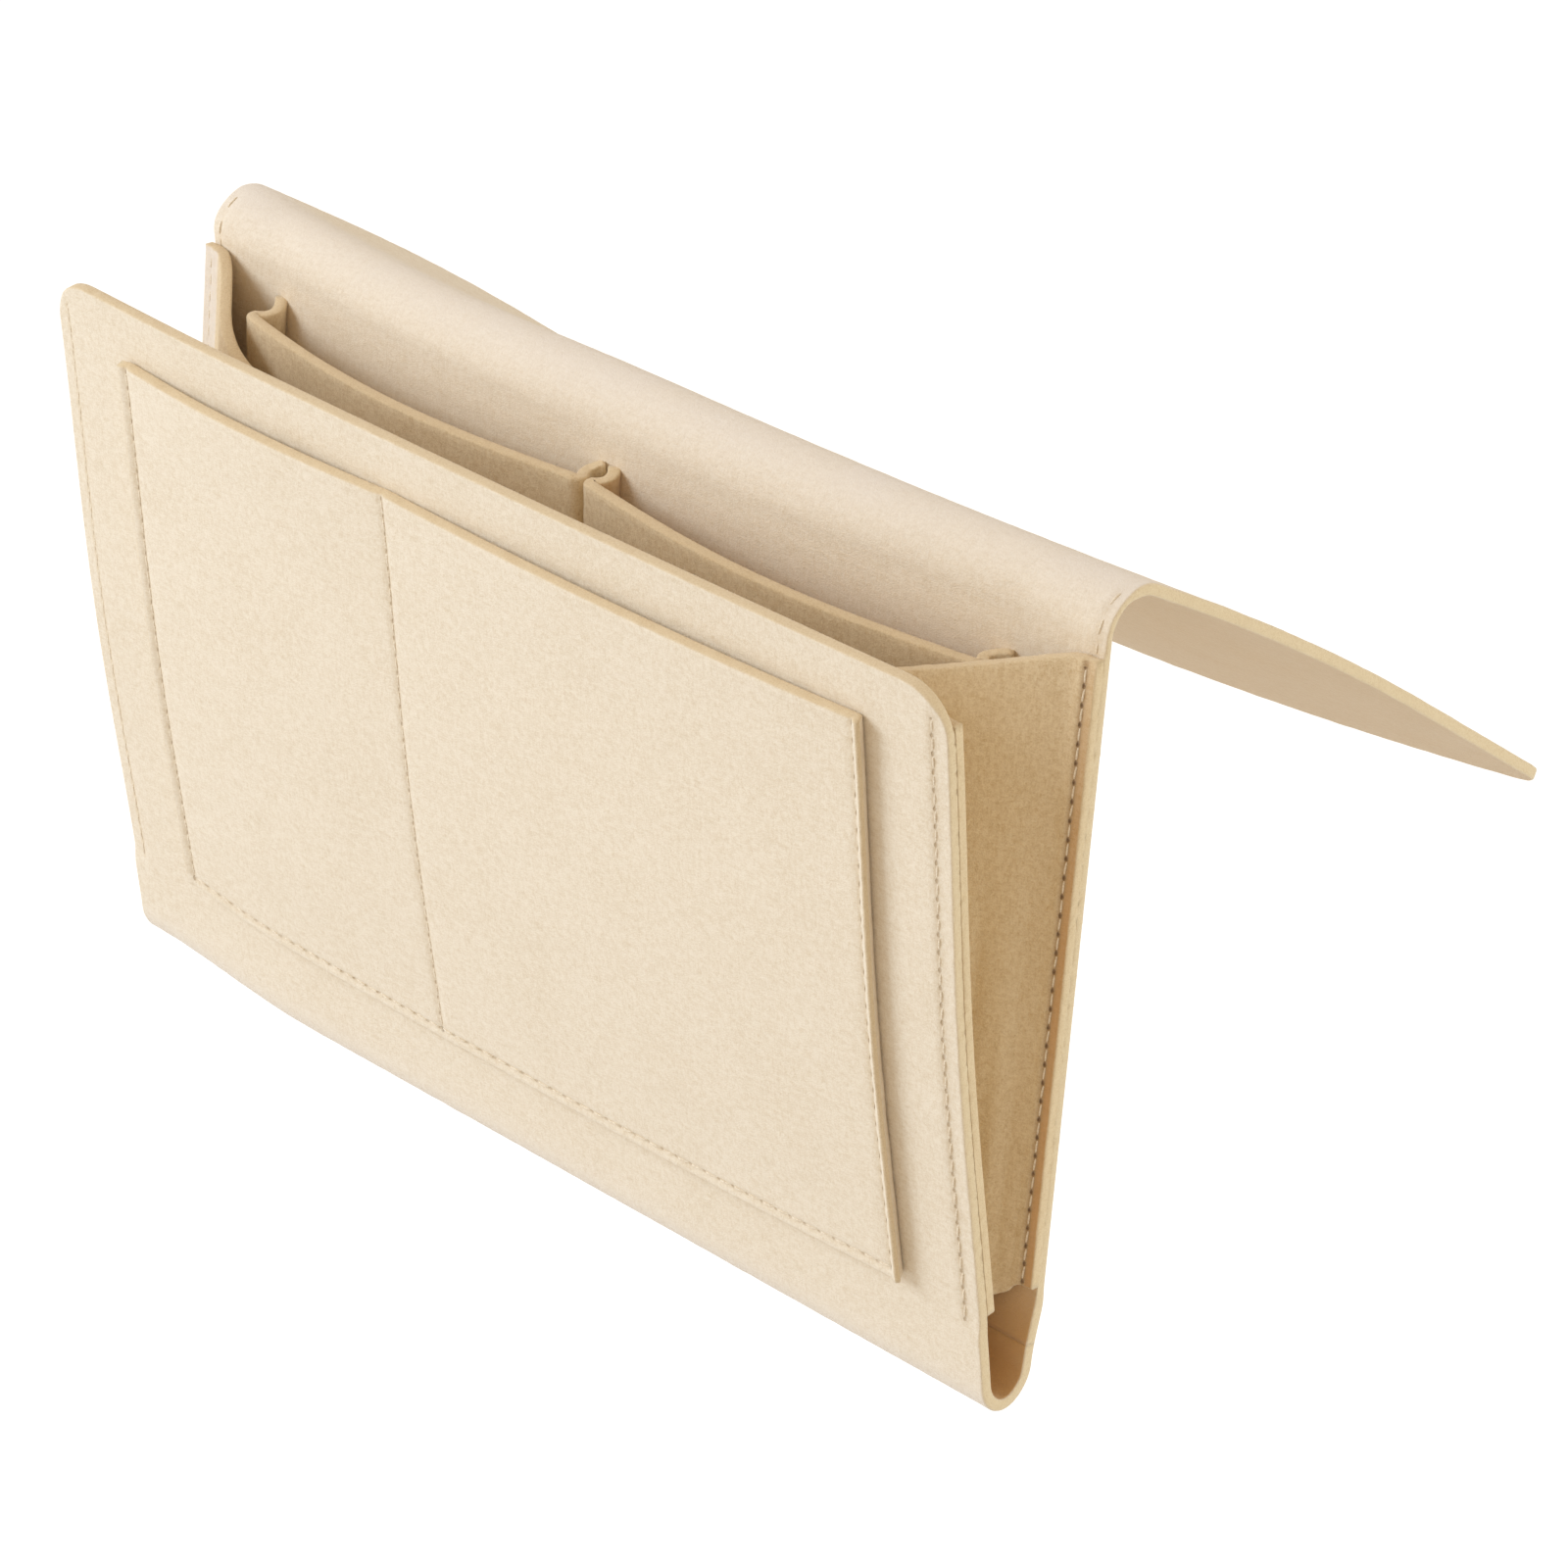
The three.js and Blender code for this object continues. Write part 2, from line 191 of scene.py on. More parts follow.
@dataclass
class FeltSheet:
    """A closed felt solid about a grid of points on its middle surface.

    Fields:
        name: name of the piece.
        middle: rows by columns by 3. Columns crossed with rows point to the outside face.
        outside: distance from the middle to the outside face.
        inside: distance from the middle to the inside face.
        seam: how much of a sewn groove each point has, 0 to 1, which the finish darkens as painted shade.
        wear_and_highlight: how much each point is paled, 0 to 1: wear at the bottom fold, part wear and part
            painted highlight on the top bend, and painted highlight on the left rear flange.
        stitch: stitches counted along the nearest seam, a needle hole at each whole number.
        off: millimetres from that seam, and more where there is none.
        mated: how much the inside face is sewn tight on another sheet, 0 to 1.
        tan: how much painted shade, a tan tint, each point of the outside face and of the inside face takes.
        free: whether the first row, last column, last row and first column are cut edges. The
            others butt against another sheet and stay square.
        stock: the felt.
    """

    name: str
    middle: Array
    outside: Array
    inside: Array
    seam: Array
    wear_and_highlight: Array
    stitch: Array | float = 0.0
    off: Array | float = 9.0
    mated: Array | float = 0.0
    # tan is painted shade: a tan tint on faces that lie in shade
    tan: tuple[Array | float, Array | float] = (0.0, 0.0)
    free: tuple[bool, bool, bool, bool] = (True, True, True, True)
    stock: FeltStock = field(default_factory=FeltStock)

    def normals(self) -> Array:
        """Unit normals of the grid: its column direction crossed with its row direction."""
        normal = np.cross(np.gradient(self.middle, axis=1), np.gradient(self.middle, axis=0))
        return normal / np.linalg.norm(normal, axis=-1, keepdims=True)

    def perimeter(self) -> tuple[Array, Array]:
        """The grid's border, in turn round it.

        Returns:
            Flat indices of its points, and the side that the edge from each is on.
        """
        rows, columns = self.middle.shape[:2]
        index = np.arange(rows * columns).reshape(rows, columns)
        border = np.concatenate([
            index[0, :-1], index[:-1, -1], index[-1, :0:-1], index[:0:-1, 0],
        ])
        sides = np.repeat([0, 1, 2, 3], [columns - 1, rows - 1, columns - 1, rows - 1])
        return border, sides

    def outward(self, border: Array, sides: Array, normal: Array) -> Array:
        """Directions in the sheet away from it at its border.

        Each border edge crossed with the normal points outward. A corner takes the mitre of its
        two edges, (a + b) / (1 + a . b), and a point beside a joined side follows the free one.

        Args:
            border: flat indices of the border.
            sides: side of the edge that starts at each of them.
            normal: unit normals at the border.

        Returns:
            A direction for each border point, zero on the joined sides.
        """
        place = self.middle.reshape(-1, 3)[border]
        edge = np.cross(np.roll(place, -1, axis=0) - place, normal)
        edge /= np.linalg.norm(edge, axis=1, keepdims=True)
        after = np.array(self.free)[sides][:, None] * edge
        before = np.roll(after, 1, axis=0)
        both = (np.abs(after).sum(1) > 0) & (np.abs(before).sum(1) > 0)
        mitre = 1 + np.where(both, (after * before).sum(1), 0)
        return (after + before) / np.maximum(mitre, 0.5)[:, None]

    def spread(self, values: Array | float) -> Array:
        """A number for each point of the grid, in flat order."""
        return np.broadcast_to(values, self.middle.shape[:2]).ravel()

    def edge_rings(
        self, above: Array, below: Array, mated: Array, ragged: Array,
    ) -> list[tuple[Array, Array]]:
        """The cut edge's section: five points of a rounded rectangle, the middle one most ragged.

        Args:
            above: from the middle to the outside face, along the border.
            below: from the middle to the inside face.
            mated: how tight the inside face is sewn, which squares the corner there.
            ragged: how far the cut stands out.

        Returns:
            For each ring, its distance out from the grid and its height over the middle.
        """
        rim = self.stock.rim
        tight = rim * (1 - 0.85 * mated)
        return [
            (0.7 * rim + 0 * ragged, above - 0.3 * rim),
            (rim + ragged, above - rim),
            (rim + 1.4 * ragged, (above - below) / 2),
            (rim + ragged, tight - below),
            (rim - 0.3 * tight, 0.3 * tight - below),
        ]

    def build(self, finish: "FeltFinish") -> bpy.types.Object:
        """Makes the sheet's mesh, gives it its finish and reports it.

        The faces are the middle moved along the normals, with a fine unevenness. The rings of the
        cut edge join them all round.

        Args:
            finish: the felt finish.

        Returns:
            The new object.
        """
        rows, columns = self.middle.shape[:2]
        size = rows * columns
        normal, flat = self.normals().reshape(-1, 3), self.middle.reshape(-1, 3)
        grain = self.stock.uneven * unevenness(flat, self.stock.uneven_wave, 11)
        mated, outside = self.spread(self.mated), self.spread(self.outside)
        inside = self.spread(self.inside) + self.stock.snug * mated
        border, sides = self.perimeter()
        count = len(border)
        away = self.outward(border, sides, normal[border])
        ragged = self.stock.ragged * unevenness(flat[border], self.stock.ragged_wave, 23)
        band = [
            flat[border] + away * out[:, None] + normal[border] * height[:, None]
            for out, height in self.edge_rings(outside[border], inside[border], mated[border], ragged)
        ]
        tops = flat + (outside + grain)[:, None] * normal
        bottoms = flat - (inside - grain * (1 - mated))[:, None] * normal
        points = np.concatenate([tops, bottoms, *band])
        index = np.arange(size).reshape(rows, columns)
        quad = np.stack([index[:-1, :-1], index[:-1, 1:], index[1:, 1:], index[1:, :-1]], -1).reshape(-1, 4)
        rings = (2 * size + k * count + np.arange(count) for k in range(len(band)))
        loops = [border, *rings, border + size]
        walls = [np.stack([a, b, np.roll(b, -1), np.roll(a, -1)], -1) for a, b in zip(loops, loops[1:])]
        faces = np.concatenate([quad, quad[:, ::-1] + size, *walls])
        joined = ~np.array(self.free)[sides]
        square = np.concatenate([np.zeros(2 * len(quad), bool), np.tile(joined, len(walls))])
        values = {name: self.spread(getattr(self, name)) for name in ("seam", "wear_and_highlight", "stitch", "off")}
        values = {name: np.concatenate([v, v, np.tile(v[border], len(band))]) for name, v in values.items()}
        # Painted shade of the outside and inside faces
        values["tan"] = np.concatenate([*map(self.spread, self.tan), np.zeros(len(band) * count)])
        values["cut"] = np.concatenate([np.zeros(2 * size), np.repeat(self.stock.cut, count)])
        piece = new_piece(self.name, points, faces, finish, values, square)
        return piece


@dataclass(frozen=True)
class Stance:
    """How the soft bag stands: its left end a little high, its crest low in the left half.

    Places along the bag are measured from its middle, and heights from the bottom fold.
    """

    mouth: float = 210 * MM
    lift_foot: float = 5.0 * MM  # how much higher the left end is at the bottom fold
    lift_mouth: float = 0.9 * MM  # and at the mouth
    lift_start: float = 100 * MM  # left of here it rises
    lift_reach: float = 70 * MM  # over this much of its length
    crest_drop: float = 2.0 * MM  # how much lower the top bend and the flap are in the left half
    crest_low: float = 203 * MM  # the bend's part over this height
    crest_ease: float = 16 * MM
    crest_front: float = -20 * MM  # and behind this place
    front_ease: float = 12 * MM
    flap_start: float = 20 * MM  # and all that is behind this place
    crest_start: float = 5 * MM  # left of here
    crest_reach: float = 90 * MM
    end_start: float = 150 * MM  # left of here the drop is smaller
    end_share: float = 0.7  # by this share
    end_reach: float = 16 * MM
    ear_out: float = 1.8 * MM  # how far the bend's very end stands out
    ear_start: float = 155 * MM
    ear_low: float = 206 * MM
    ear_back: float = 50 * MM  # it ends before this place on the flap
    ear_ease: float = 25 * MM
    short_ease: float = 10 * MM

    def settle(self, points: Array) -> Array:
        """Moves points of the evenly made bag to where they stand.

        The left end rises smoothly to the left, by a height that changes evenly from foot to
        mouth. The bend and the flap, told by their height and depth, sink smoothly to the left,
        and the bend's very end moves out.

        Args:
            points: places in the bag's own frame.

        Returns:
            The same places as the bag stands.
        """
        x, y, z = points.T
        share = np.clip(z / self.mouth, 0, 1)
        rise = self.lift_foot - (self.lift_foot - self.lift_mouth) * share
        lift = rise * smooth((-x - self.lift_start) / self.lift_reach)
        bent = smooth((z - self.crest_low) / self.crest_ease)
        bent = bent * smooth((y - self.crest_front) / self.front_ease)
        bent = np.maximum(bent, smooth((y - self.flap_start) / self.short_ease))
        crest = bent * smooth((-x - self.crest_start) / self.crest_reach)
        crest = crest * (1 - self.end_share * smooth((-x - self.end_start) / self.end_reach))
        ear = smooth((-x - self.ear_start) / self.end_reach) * smooth((z - self.ear_low) / self.short_ease)
        ear = ear * smooth((self.ear_back - y) / self.ear_ease)
        return np.stack([x - self.ear_out * ear, y, z + lift - self.crest_drop * crest], -1)


def new_piece(
    name: str, points: Array, faces: Array, finish: "Finish", values: dict[str, Array] | None = None,
    square: Array | None = None,
) -> bpy.types.Object:
    """A smooth-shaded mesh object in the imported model's frame.

    Args:
        name: name of the piece.
        points: corners in the bag's own frame.
        faces: corner indices of its faces.
        finish: what its material is made from.
        values: attributes, each with a number for every corner.
        square: which faces are shaded flat, with square edges round them.

    Returns:
        The new object, at the origin.
    """
    mesh = bpy.data.meshes.new(name)
    mesh.from_pydata(Stance().settle(points) + ORIGIN, [], faces.tolist(), shade_flat=False)
    for label, numbers in (values or {}).items():
        mesh.attributes.new(label, "FLOAT", "POINT").data.foreach_set("value", numbers)
    if square is not None:
        mesh.attributes.new("sharp_face", "BOOLEAN", "FACE").data.foreach_set("value", square)
    mesh.materials.append(finish.material())
    piece = bpy.data.objects.new(name, mesh)
    bpy.context.scene.collection.objects.link(piece)
    log.info("%s: %d corners, %d faces", name, len(points), len(faces))
    return piece


# ---------------------------------------------------------------------------
# Finishes
# ---------------------------------------------------------------------------

class Value:
    """A number socket of a material that takes part in Python arithmetic."""

    def __init__(self, graph: "Graph", socket: bpy.types.NodeSocket) -> None:
        """Wraps an output socket of the graph."""
        self.graph = graph
        self.socket = socket

    def calculate(self, operation: str, *terms: "Value | float") -> "Value":
        """Adds a Math node for an operation on some terms."""
        node = self.graph.node("ShaderNodeMath", {"operation": operation}, dict(enumerate(terms)))
        return Value(self.graph, node.outputs[0])

    def __add__(self, other: "Value | float") -> "Value":
        """This plus another."""
        return self.calculate("ADD", self, other)

    __radd__ = __add__

    def __sub__(self, other: "Value | float") -> "Value":
        """This less another."""
        return self.calculate("SUBTRACT", self, other)

    def __rsub__(self, other: float) -> "Value":
        """A number less this."""
        return self.calculate("SUBTRACT", other, self)

    def __mul__(self, other: "Value | float") -> "Value":
        """This times another."""
        return self.calculate("MULTIPLY", self, other)

    __rmul__ = __mul__

    def limited(self) -> "Value":
        """This, kept between 0 and 1."""
        return self.calculate("MINIMUM", self.calculate("MAXIMUM", self, 0.0), 1.0)

    def from_whole(self) -> "Value":
        """This less the whole number nearest to it."""
        return self - self.calculate("ROUND", self)


class Graph:
    """The nodes of one new material."""

    def __init__(self, name: str) -> None:
        """Starts an empty material.

        Args:
            name: its name.
        """
        self.material = bpy.data.materials.new(name)
        self.material.use_nodes = True
        self.tree = self.material.node_tree
        self.tree.nodes.clear()

    def node(self, kind: str, settings: dict | None = None, inputs: dict | None = None) -> bpy.types.Node:
        """Adds a node.

        Args:
            kind: the node's type.
            settings: its own properties, set first.
            inputs: values or links of its sockets, by name or number.

        Returns:
            The new node.
        """
        node = self.tree.nodes.new(kind)
        for name, setting in (settings or {}).items():
            setattr(node, name, setting)
        for key, value in (inputs or {}).items():
            source = value.socket if isinstance(value, Value) else value
            if isinstance(source, bpy.types.NodeSocket):
                self.tree.links.new(source, node.inputs[key])
            else:
                node.inputs[key].default_value = source
        return node

    def attribute(self, name: str) -> Value:
        """The number that a piece's mesh holds under a name."""
        return Value(self, self.node("ShaderNodeAttribute", {"attribute_name": name}).outputs["Fac"])

    def noise(self, stretch: Triple, scale: float, detail: float = 2.0, roughness: float = 0.5) -> Value:
        """Noise on the piece's own coordinates.

        Args:
            stretch: factor on the coordinates along each axis.
            scale: scale of the noise.
            detail: how many finer noises are added.
            roughness: how strong the finer noises are.

        Returns:
            The noise, about 0.5 on average.
        """
        place = self.node("ShaderNodeTexCoord").outputs["Object"]
        mapped = self.node("ShaderNodeMapping", {}, {"Vector": place, "Scale": stretch})
        texture = self.node("ShaderNodeTexNoise", {}, {
            "Vector": mapped.outputs[0], "Scale": scale, "Detail": detail, "Roughness": roughness,
        })
        return Value(self, texture.outputs[0])

    def mix(self, share: Value | float, first: object, second: object) -> bpy.types.NodeSocket:
        """A colour between two, by a share."""
        node = self.node("ShaderNodeMix", {"data_type": "RGBA"}, {0: share, 6: first, 7: second})
        return node.outputs[2]

    def finish(self, shader: bpy.types.NodeSocket) -> bpy.types.Material:
        """Links the shader to the surface and returns the material."""
        self.node("ShaderNodeOutputMaterial", {}, {"Surface": shader})
        return self.material


class Finish:
    """A finish whose material is made once and shared by its pieces."""

    made: dict[str, bpy.types.Material] = {}
    name: str

    def material(self) -> bpy.types.Material:
        """Makes the finish's material on the first call.

        Returns:
            The one material of this finish.
        """
        if self.name not in Finish.made:
            Finish.made[self.name] = self.dress(Graph(self.name))
        return Finish.made[self.name]

    def dress(self, graph: Graph) -> bpy.types.Material:
        """Builds the nodes."""
        raise NotImplementedError


def rgba(colour: Colour) -> tuple[float, float, float, float]:
    """A colour with full alpha."""
    return (*colour, 1.0)


@dataclass(frozen=True)
class FeltFinish(Finish):
    """Pressed cream felt: matted fibres, a faint cloudy tone, tan cut edges, painted shade in needle holes,
    seam grooves and shaded faces, and a paler tone of wear and painted highlight.
    """

    name: str = "cream_felt"
    face: Colour = linear(243, 231, 209)
    fibre: Colour = linear(227, 210, 181)
    core: Colour = linear(228, 208, 172)
    core_dark: Colour = linear(208, 182, 139)
    # Paler tone: wear at the bottom fold, and painted highlight on the top bend and the left rear flange
    paled: Colour = linear(241, 234, 226)
    # Darker tone painted as shade in needle holes
    hole_shade: Colour = linear(186, 160, 124)
    # Tan tint painted as shade on faces that lie in shade
    painted_shade_tint: Colour = linear(215, 174, 120)
    # Darker tone painted as shade in seam grooves
    groove: Colour = linear(208, 182, 139)
    groove_shade_share: float = 0.3  # how much of that colour, painted shade, a seam's groove takes
    hole_shade_share: float = 0.6  # and of the painted shade colour a needle hole
    fibre_scale: float = 1300.0
    cloud_scale: float = 38.0
    relief: float = 0.25 * MM
    hole_shade_along: float = 0.9  # half the length of a needle hole's mark, mm
    hole_shade_across: float = 0.45  # and half its width
    fibre_contrast: float = 3.0  # how much the crossed fibres change the tone
    grain_contrast: float = 2.2  # and the fine grain, on the face and on the cut edges
    cloud_contrast: float = 0.45  # and the wide clouds
    fibre_level: float = 0.35  # share of the fibre colour where all of them are even

    def matted(self, graph: Graph) -> tuple[Value, Value, Value]:
        """The felt's three noises.

        Args:
            graph: the material.

        Returns:
            Crossed fibres, which are three noises, each long in another direction; fine grain;
            and wide clouds.
        """
        crossed = (
            graph.noise((1.0, 1.0, 0.25), self.fibre_scale)
            + graph.noise((0.25, 1.0, 1.0), self.fibre_scale)
            + graph.noise((0.5, 0.3, 0.5), self.fibre_scale)
        ) * 0.3333
        grain = graph.noise((1.0, 1.0, 1.0), self.fibre_scale * 1.7, 3.0, 0.65)
        return crossed, grain, graph.noise((1.0, 1.0, 1.0), self.cloud_scale, 3.0, 0.6)

    def dress(self, graph: Graph) -> bpy.types.Material:
        """Builds the nodes.

        The face goes to the fibre colour where the noises are high, then by its attributes to the paler
        colour of wear and painted highlight, to the tan tint of painted shade and to the groove's painted
        shade, and to the core colour on cut edges. A needle hole's painted shade is 1.15 less the square of
        the distance from it, over the half sizes of its mark.

        Args:
            graph: the new material.

        Returns:
            The finished material.
        """
        crossed, grain, clouds = self.matted(graph)
        cut, seam, wear_and_highlight, stitch, off, tan = (
            graph.attribute(name) for name in ("cut", "seam", "wear_and_highlight", "stitch", "off", "tan")
        )
        along = stitch.from_whole() * (Thread.pitch / MM / self.hole_shade_along)
        across = off * (1 / self.hole_shade_across)
        mark = ((1.15 - along * along - across * across) * (grain * 1.6 + 0.3)).limited()
        # Painted shade in the needle holes, less where paled
        hole_shade = (mark * (1.0 - wear_and_highlight)).limited()
        tone = (
            (crossed - 0.5) * self.fibre_contrast + (grain - 0.5) * self.grain_contrast
            + (clouds - 0.5) * self.cloud_contrast + self.fibre_level
        ).limited()
        # Paler tone of wear and painted highlight
        paled = (wear_and_highlight * (clouds * 0.8 + grain * 0.9 - 0.15)).limited()
        # Painted shade: the tan tint on faces that lie in shade
        painted_shade_tint = (tan * (clouds * 0.4 + 0.8)).limited()
        # Painted shade in the seam grooves, less where paled
        groove_shade = (seam * (1.0 - wear_and_highlight) * self.groove_shade_share).limited()
        face = graph.mix(tone, rgba(self.face), rgba(self.fibre))
        face = graph.mix(paled, face, rgba(self.paled))
        face = graph.mix(painted_shade_tint, face, rgba(self.painted_shade_tint))
        face = graph.mix(groove_shade, face, rgba(self.groove))
        core_tone = ((grain - 0.42) * self.grain_contrast + (crossed - 0.5)).limited()
        core = graph.mix(core_tone, rgba(self.core), rgba(self.core_dark))
        colour = graph.mix(hole_shade * self.hole_shade_share, graph.mix(cut, face, core), rgba(self.hole_shade))
        height = crossed * 0.9 + grain * 0.9 + clouds * 0.3 - hole_shade * (2 * self.hole_shade_share)
        bump = graph.node("ShaderNodeBump", {}, {"Strength": 0.9, "Distance": self.relief, "Height": height})
        shader = graph.node("ShaderNodeBsdfPrincipled", {}, {
            "Base Color": colour, "Roughness": 0.95, "Specular IOR Level": 0.2,
            "Sheen Weight": 0.2, "Sheen Roughness": 0.6, "Normal": bump.outputs[0],
        })
        return graph.finish(shader.outputs[0])


# The same cream felt made darker and tanner as painted shade, for the gusset strips and inner pockets, with
# darker painted shade in needle holes and seam grooves
SHADED_FELT = FeltFinish(
    "shaded_felt", linear(231, 211, 175), linear(208, 181, 138), linear(226, 204, 166), linear(204, 176, 132),
    hole_shade=linear(104, 76, 46), painted_shade_tint=linear(208, 160, 104), groove=linear(150, 112, 72),
    groove_shade_share=0.65, hole_shade_share=0.85,
)


@dataclass(frozen=True)
class ThreadFinish(Finish):
    """Matching sewing thread of twisted strands."""

    name: str = "cream_thread"
    crown: Colour = linear(245, 234, 212)
    hollow: Colour = linear(206, 184, 150)
    twist_scale: float = 1500.0

    def dress(self, graph: Graph) -> bpy.types.Material:
        """Builds the nodes: fine slanted bands darken and raise the strands.

        Args:
            graph: the new material.

        Returns:
            The finished material.
        """
        twist = graph.noise((1.0, 0.6, 1.6), self.twist_scale, 2.0)
        colour = graph.mix(((twist - 0.35) * 2.0).limited(), rgba(self.crown), rgba(self.hollow))
        bump = graph.node("ShaderNodeBump", {}, {"Strength": 0.6, "Distance": 0.1 * MM, "Height": twist})
        shader = graph.node("ShaderNodeBsdfPrincipled", {}, {
            "Base Color": colour, "Roughness": 0.7, "Sheen Weight": 0.2, "Normal": bump.outputs[0],
        })
        return graph.finish(shader.outputs[0])


@dataclass(frozen=True)
class FloorFinish(Finish):
    """White floor that the camera sees as white, with the bag's shadow on it."""

    name: str = "white_floor"
    colour: Colour = (0.81, 0.81, 0.81)
    glow: float = 0.45
    white: float = 1.75  # strength of the glow

    def dress(self, graph: Graph) -> bpy.types.Material:
        """Builds the nodes: to the camera and in reflections, part of the floor glows white.

        Args:
            graph: the new material.

        Returns:
            The finished material.
        """
        path = graph.node("ShaderNodeLightPath").outputs
        seen = (
            Value(graph, path["Is Camera Ray"]) + Value(graph, path["Is Glossy Ray"])
            + Value(graph, path["Is Transmission Ray"])
        ).limited()
        matt = graph.node("ShaderNodeBsdfDiffuse", {}, {"Color": rgba(self.colour)})
        white = graph.node("ShaderNodeEmission", {}, {"Color": rgba((1.0, 1.0, 1.0)), "Strength": self.white})
        mixed = graph.node("ShaderNodeMixShader", {}, {
            0: seen * self.glow, 1: matt.outputs[0], 2: white.outputs[0],
        })
        return graph.finish(mixed.outputs[0])


# ---------------------------------------------------------------------------
# Thread
# ---------------------------------------------------------------------------

@dataclass(frozen=True)
class Thread:
    """A row of machine stitches."""

    radius: float = 0.3 * MM
    pitch: float = 5.3 * MM
    length: float = 4.1 * MM
    rise: float = 0.36 * MM
    sink: float = 0.25 * MM  # how deep a stitch's ends go under the face
    taper: float = 0.45  # how much thinner it is there
    slant: float = 0.06  # how far it lies across the seam, as a share of its length
    slant_spread: float = 0.03  # and how much that varies
    rings: int = 6
    around: int = 6

    def count(self, start: float, stop: float) -> int:
        """How many stitches a row has."""
        return max(int(abs(stop - start) / self.pitch), 1)

    def phase(self, distance: Array, start: float, stop: float) -> Array:
        """Stitches counted along a row at each distance, a needle hole at each whole number."""
        return (distance - start) / (stop - start) * self.count(start, stop)

    def offset(self, across: Array, distance: Array, start: float, stop: float) -> Array:
        """Millimetres from a row's line, and 9 more beyond its ends."""
        beyond = (distance < start - MM) | (distance > stop + MM)
        return np.abs(across) / MM + 9.0 * beyond

    def row(self, place: Callable[[Array, float], Array], start: float, stop: float) -> tuple[Array, Array]:
        """Stitches along a line on a felt face.

        Each is a tube about half an ellipse: along the line by length/2 times the cosine, and up
        from the felt by rise times the sine, less the depth that its ends sink to.

        Args:
            place: gives points on the face for distances along the line and a height over it.
            start: first distance.
            stop: last distance.

        Returns:
            The corners and faces of all the stitches.
        """
        count = self.count(start, stop)
        distance = np.linspace(start, stop, count + 1)
        distance = (distance[1:] + distance[:-1]) / 2
        centre = place(distance, 0.0)
        along = place(distance + 0.1 * MM, 0.0) - place(distance - 0.1 * MM, 0.0)
        up = place(distance, 0.1 * MM) - centre
        along /= np.linalg.norm(along, axis=1, keepdims=True)
        up /= np.linalg.norm(up, axis=1, keepdims=True)
        across = np.cross(along, up)
        seed = int(abs(start + stop) * 1e6)
        slant = np.random.default_rng(seed).normal(self.slant, self.slant_spread, count)[:, None]
        along = along + slant * across
        angle = np.linspace(np.pi, 0, self.rings)[None, :, None, None]
        turn = np.linspace(0, 2 * np.pi, self.around, endpoint=False)[None, None, :, None]
        radius = self.radius * (1 - self.taper + self.taper * np.sin(angle))
        lift = self.rise * np.sin(angle) - self.sink + radius * np.sin(turn)
        along, up, across = (axis[:, None, None, :] for axis in (along, up, across))
        points = (
            centre[:, None, None, :] + along * (self.length / 2) * np.cos(angle)
            + up * lift + across * radius * np.cos(turn)
        )
        return points.reshape(-1, 3), self.tube_faces(count)

    def tube_faces(self, count: int) -> Array:
        """Quads of capped tubes with six sides, each end closed by a strip of two quads.

        Args:
            count: how many tubes.

        Returns:
            Four corner indices for each quad.
        """
        ring = np.arange(self.around)
        body = np.concatenate([
            np.stack([ring, np.roll(ring, -1), np.roll(ring, -1) + self.around, ring + self.around], -1)
            + k * self.around for k in range(self.rings - 1)
        ])
        last = (self.rings - 1) * self.around
        cap = np.array([[0, 5, 4, 1], [1, 4, 3, 2]])
        one = np.concatenate([body, cap, cap[:, ::-1] + last])
        each = self.rings * self.around
        return (one[None] + each * np.arange(count)[:, None, None]).reshape(-1, 4)

    def sew(self, name: str, rows: list[tuple[Array, Array]]) -> bpy.types.Object:
        """Joins rows of stitches into one piece and gives it its finish.

        Args:
            name: name of the piece.
            rows: corners and faces of each row.

        Returns:
            The new object.
        """
        starts = np.cumsum([0] + [len(points) for points, _ in rows[:-1]])
        points = np.concatenate([points for points, _ in rows])
        faces = np.concatenate([quads + start for (_, quads), start in zip(rows, starts)])
        piece = new_piece(name, points, outward_faces(points, faces), ThreadFinish())
        return piece


def outward_faces(points: Array, faces: Array) -> Array:
    """The same quads, turned over if the volume that they enclose comes out negative.

    Args:
        points: the corners.
        faces: four corner indices for each quad.

    Returns:
        The quads with their faces outward.
    """
    a, b, c, d = (points[faces[:, k]] for k in range(4))
    centre = points.mean(axis=0)
    volume = ((a - centre) * (np.cross(b - centre, c - centre) + np.cross(c - centre, d - centre))).sum()
    return faces if volume > 0 else faces[:, ::-1]


# ---------------------------------------------------------------------------
# Sub-assemblies
# ---------------------------------------------------------------------------

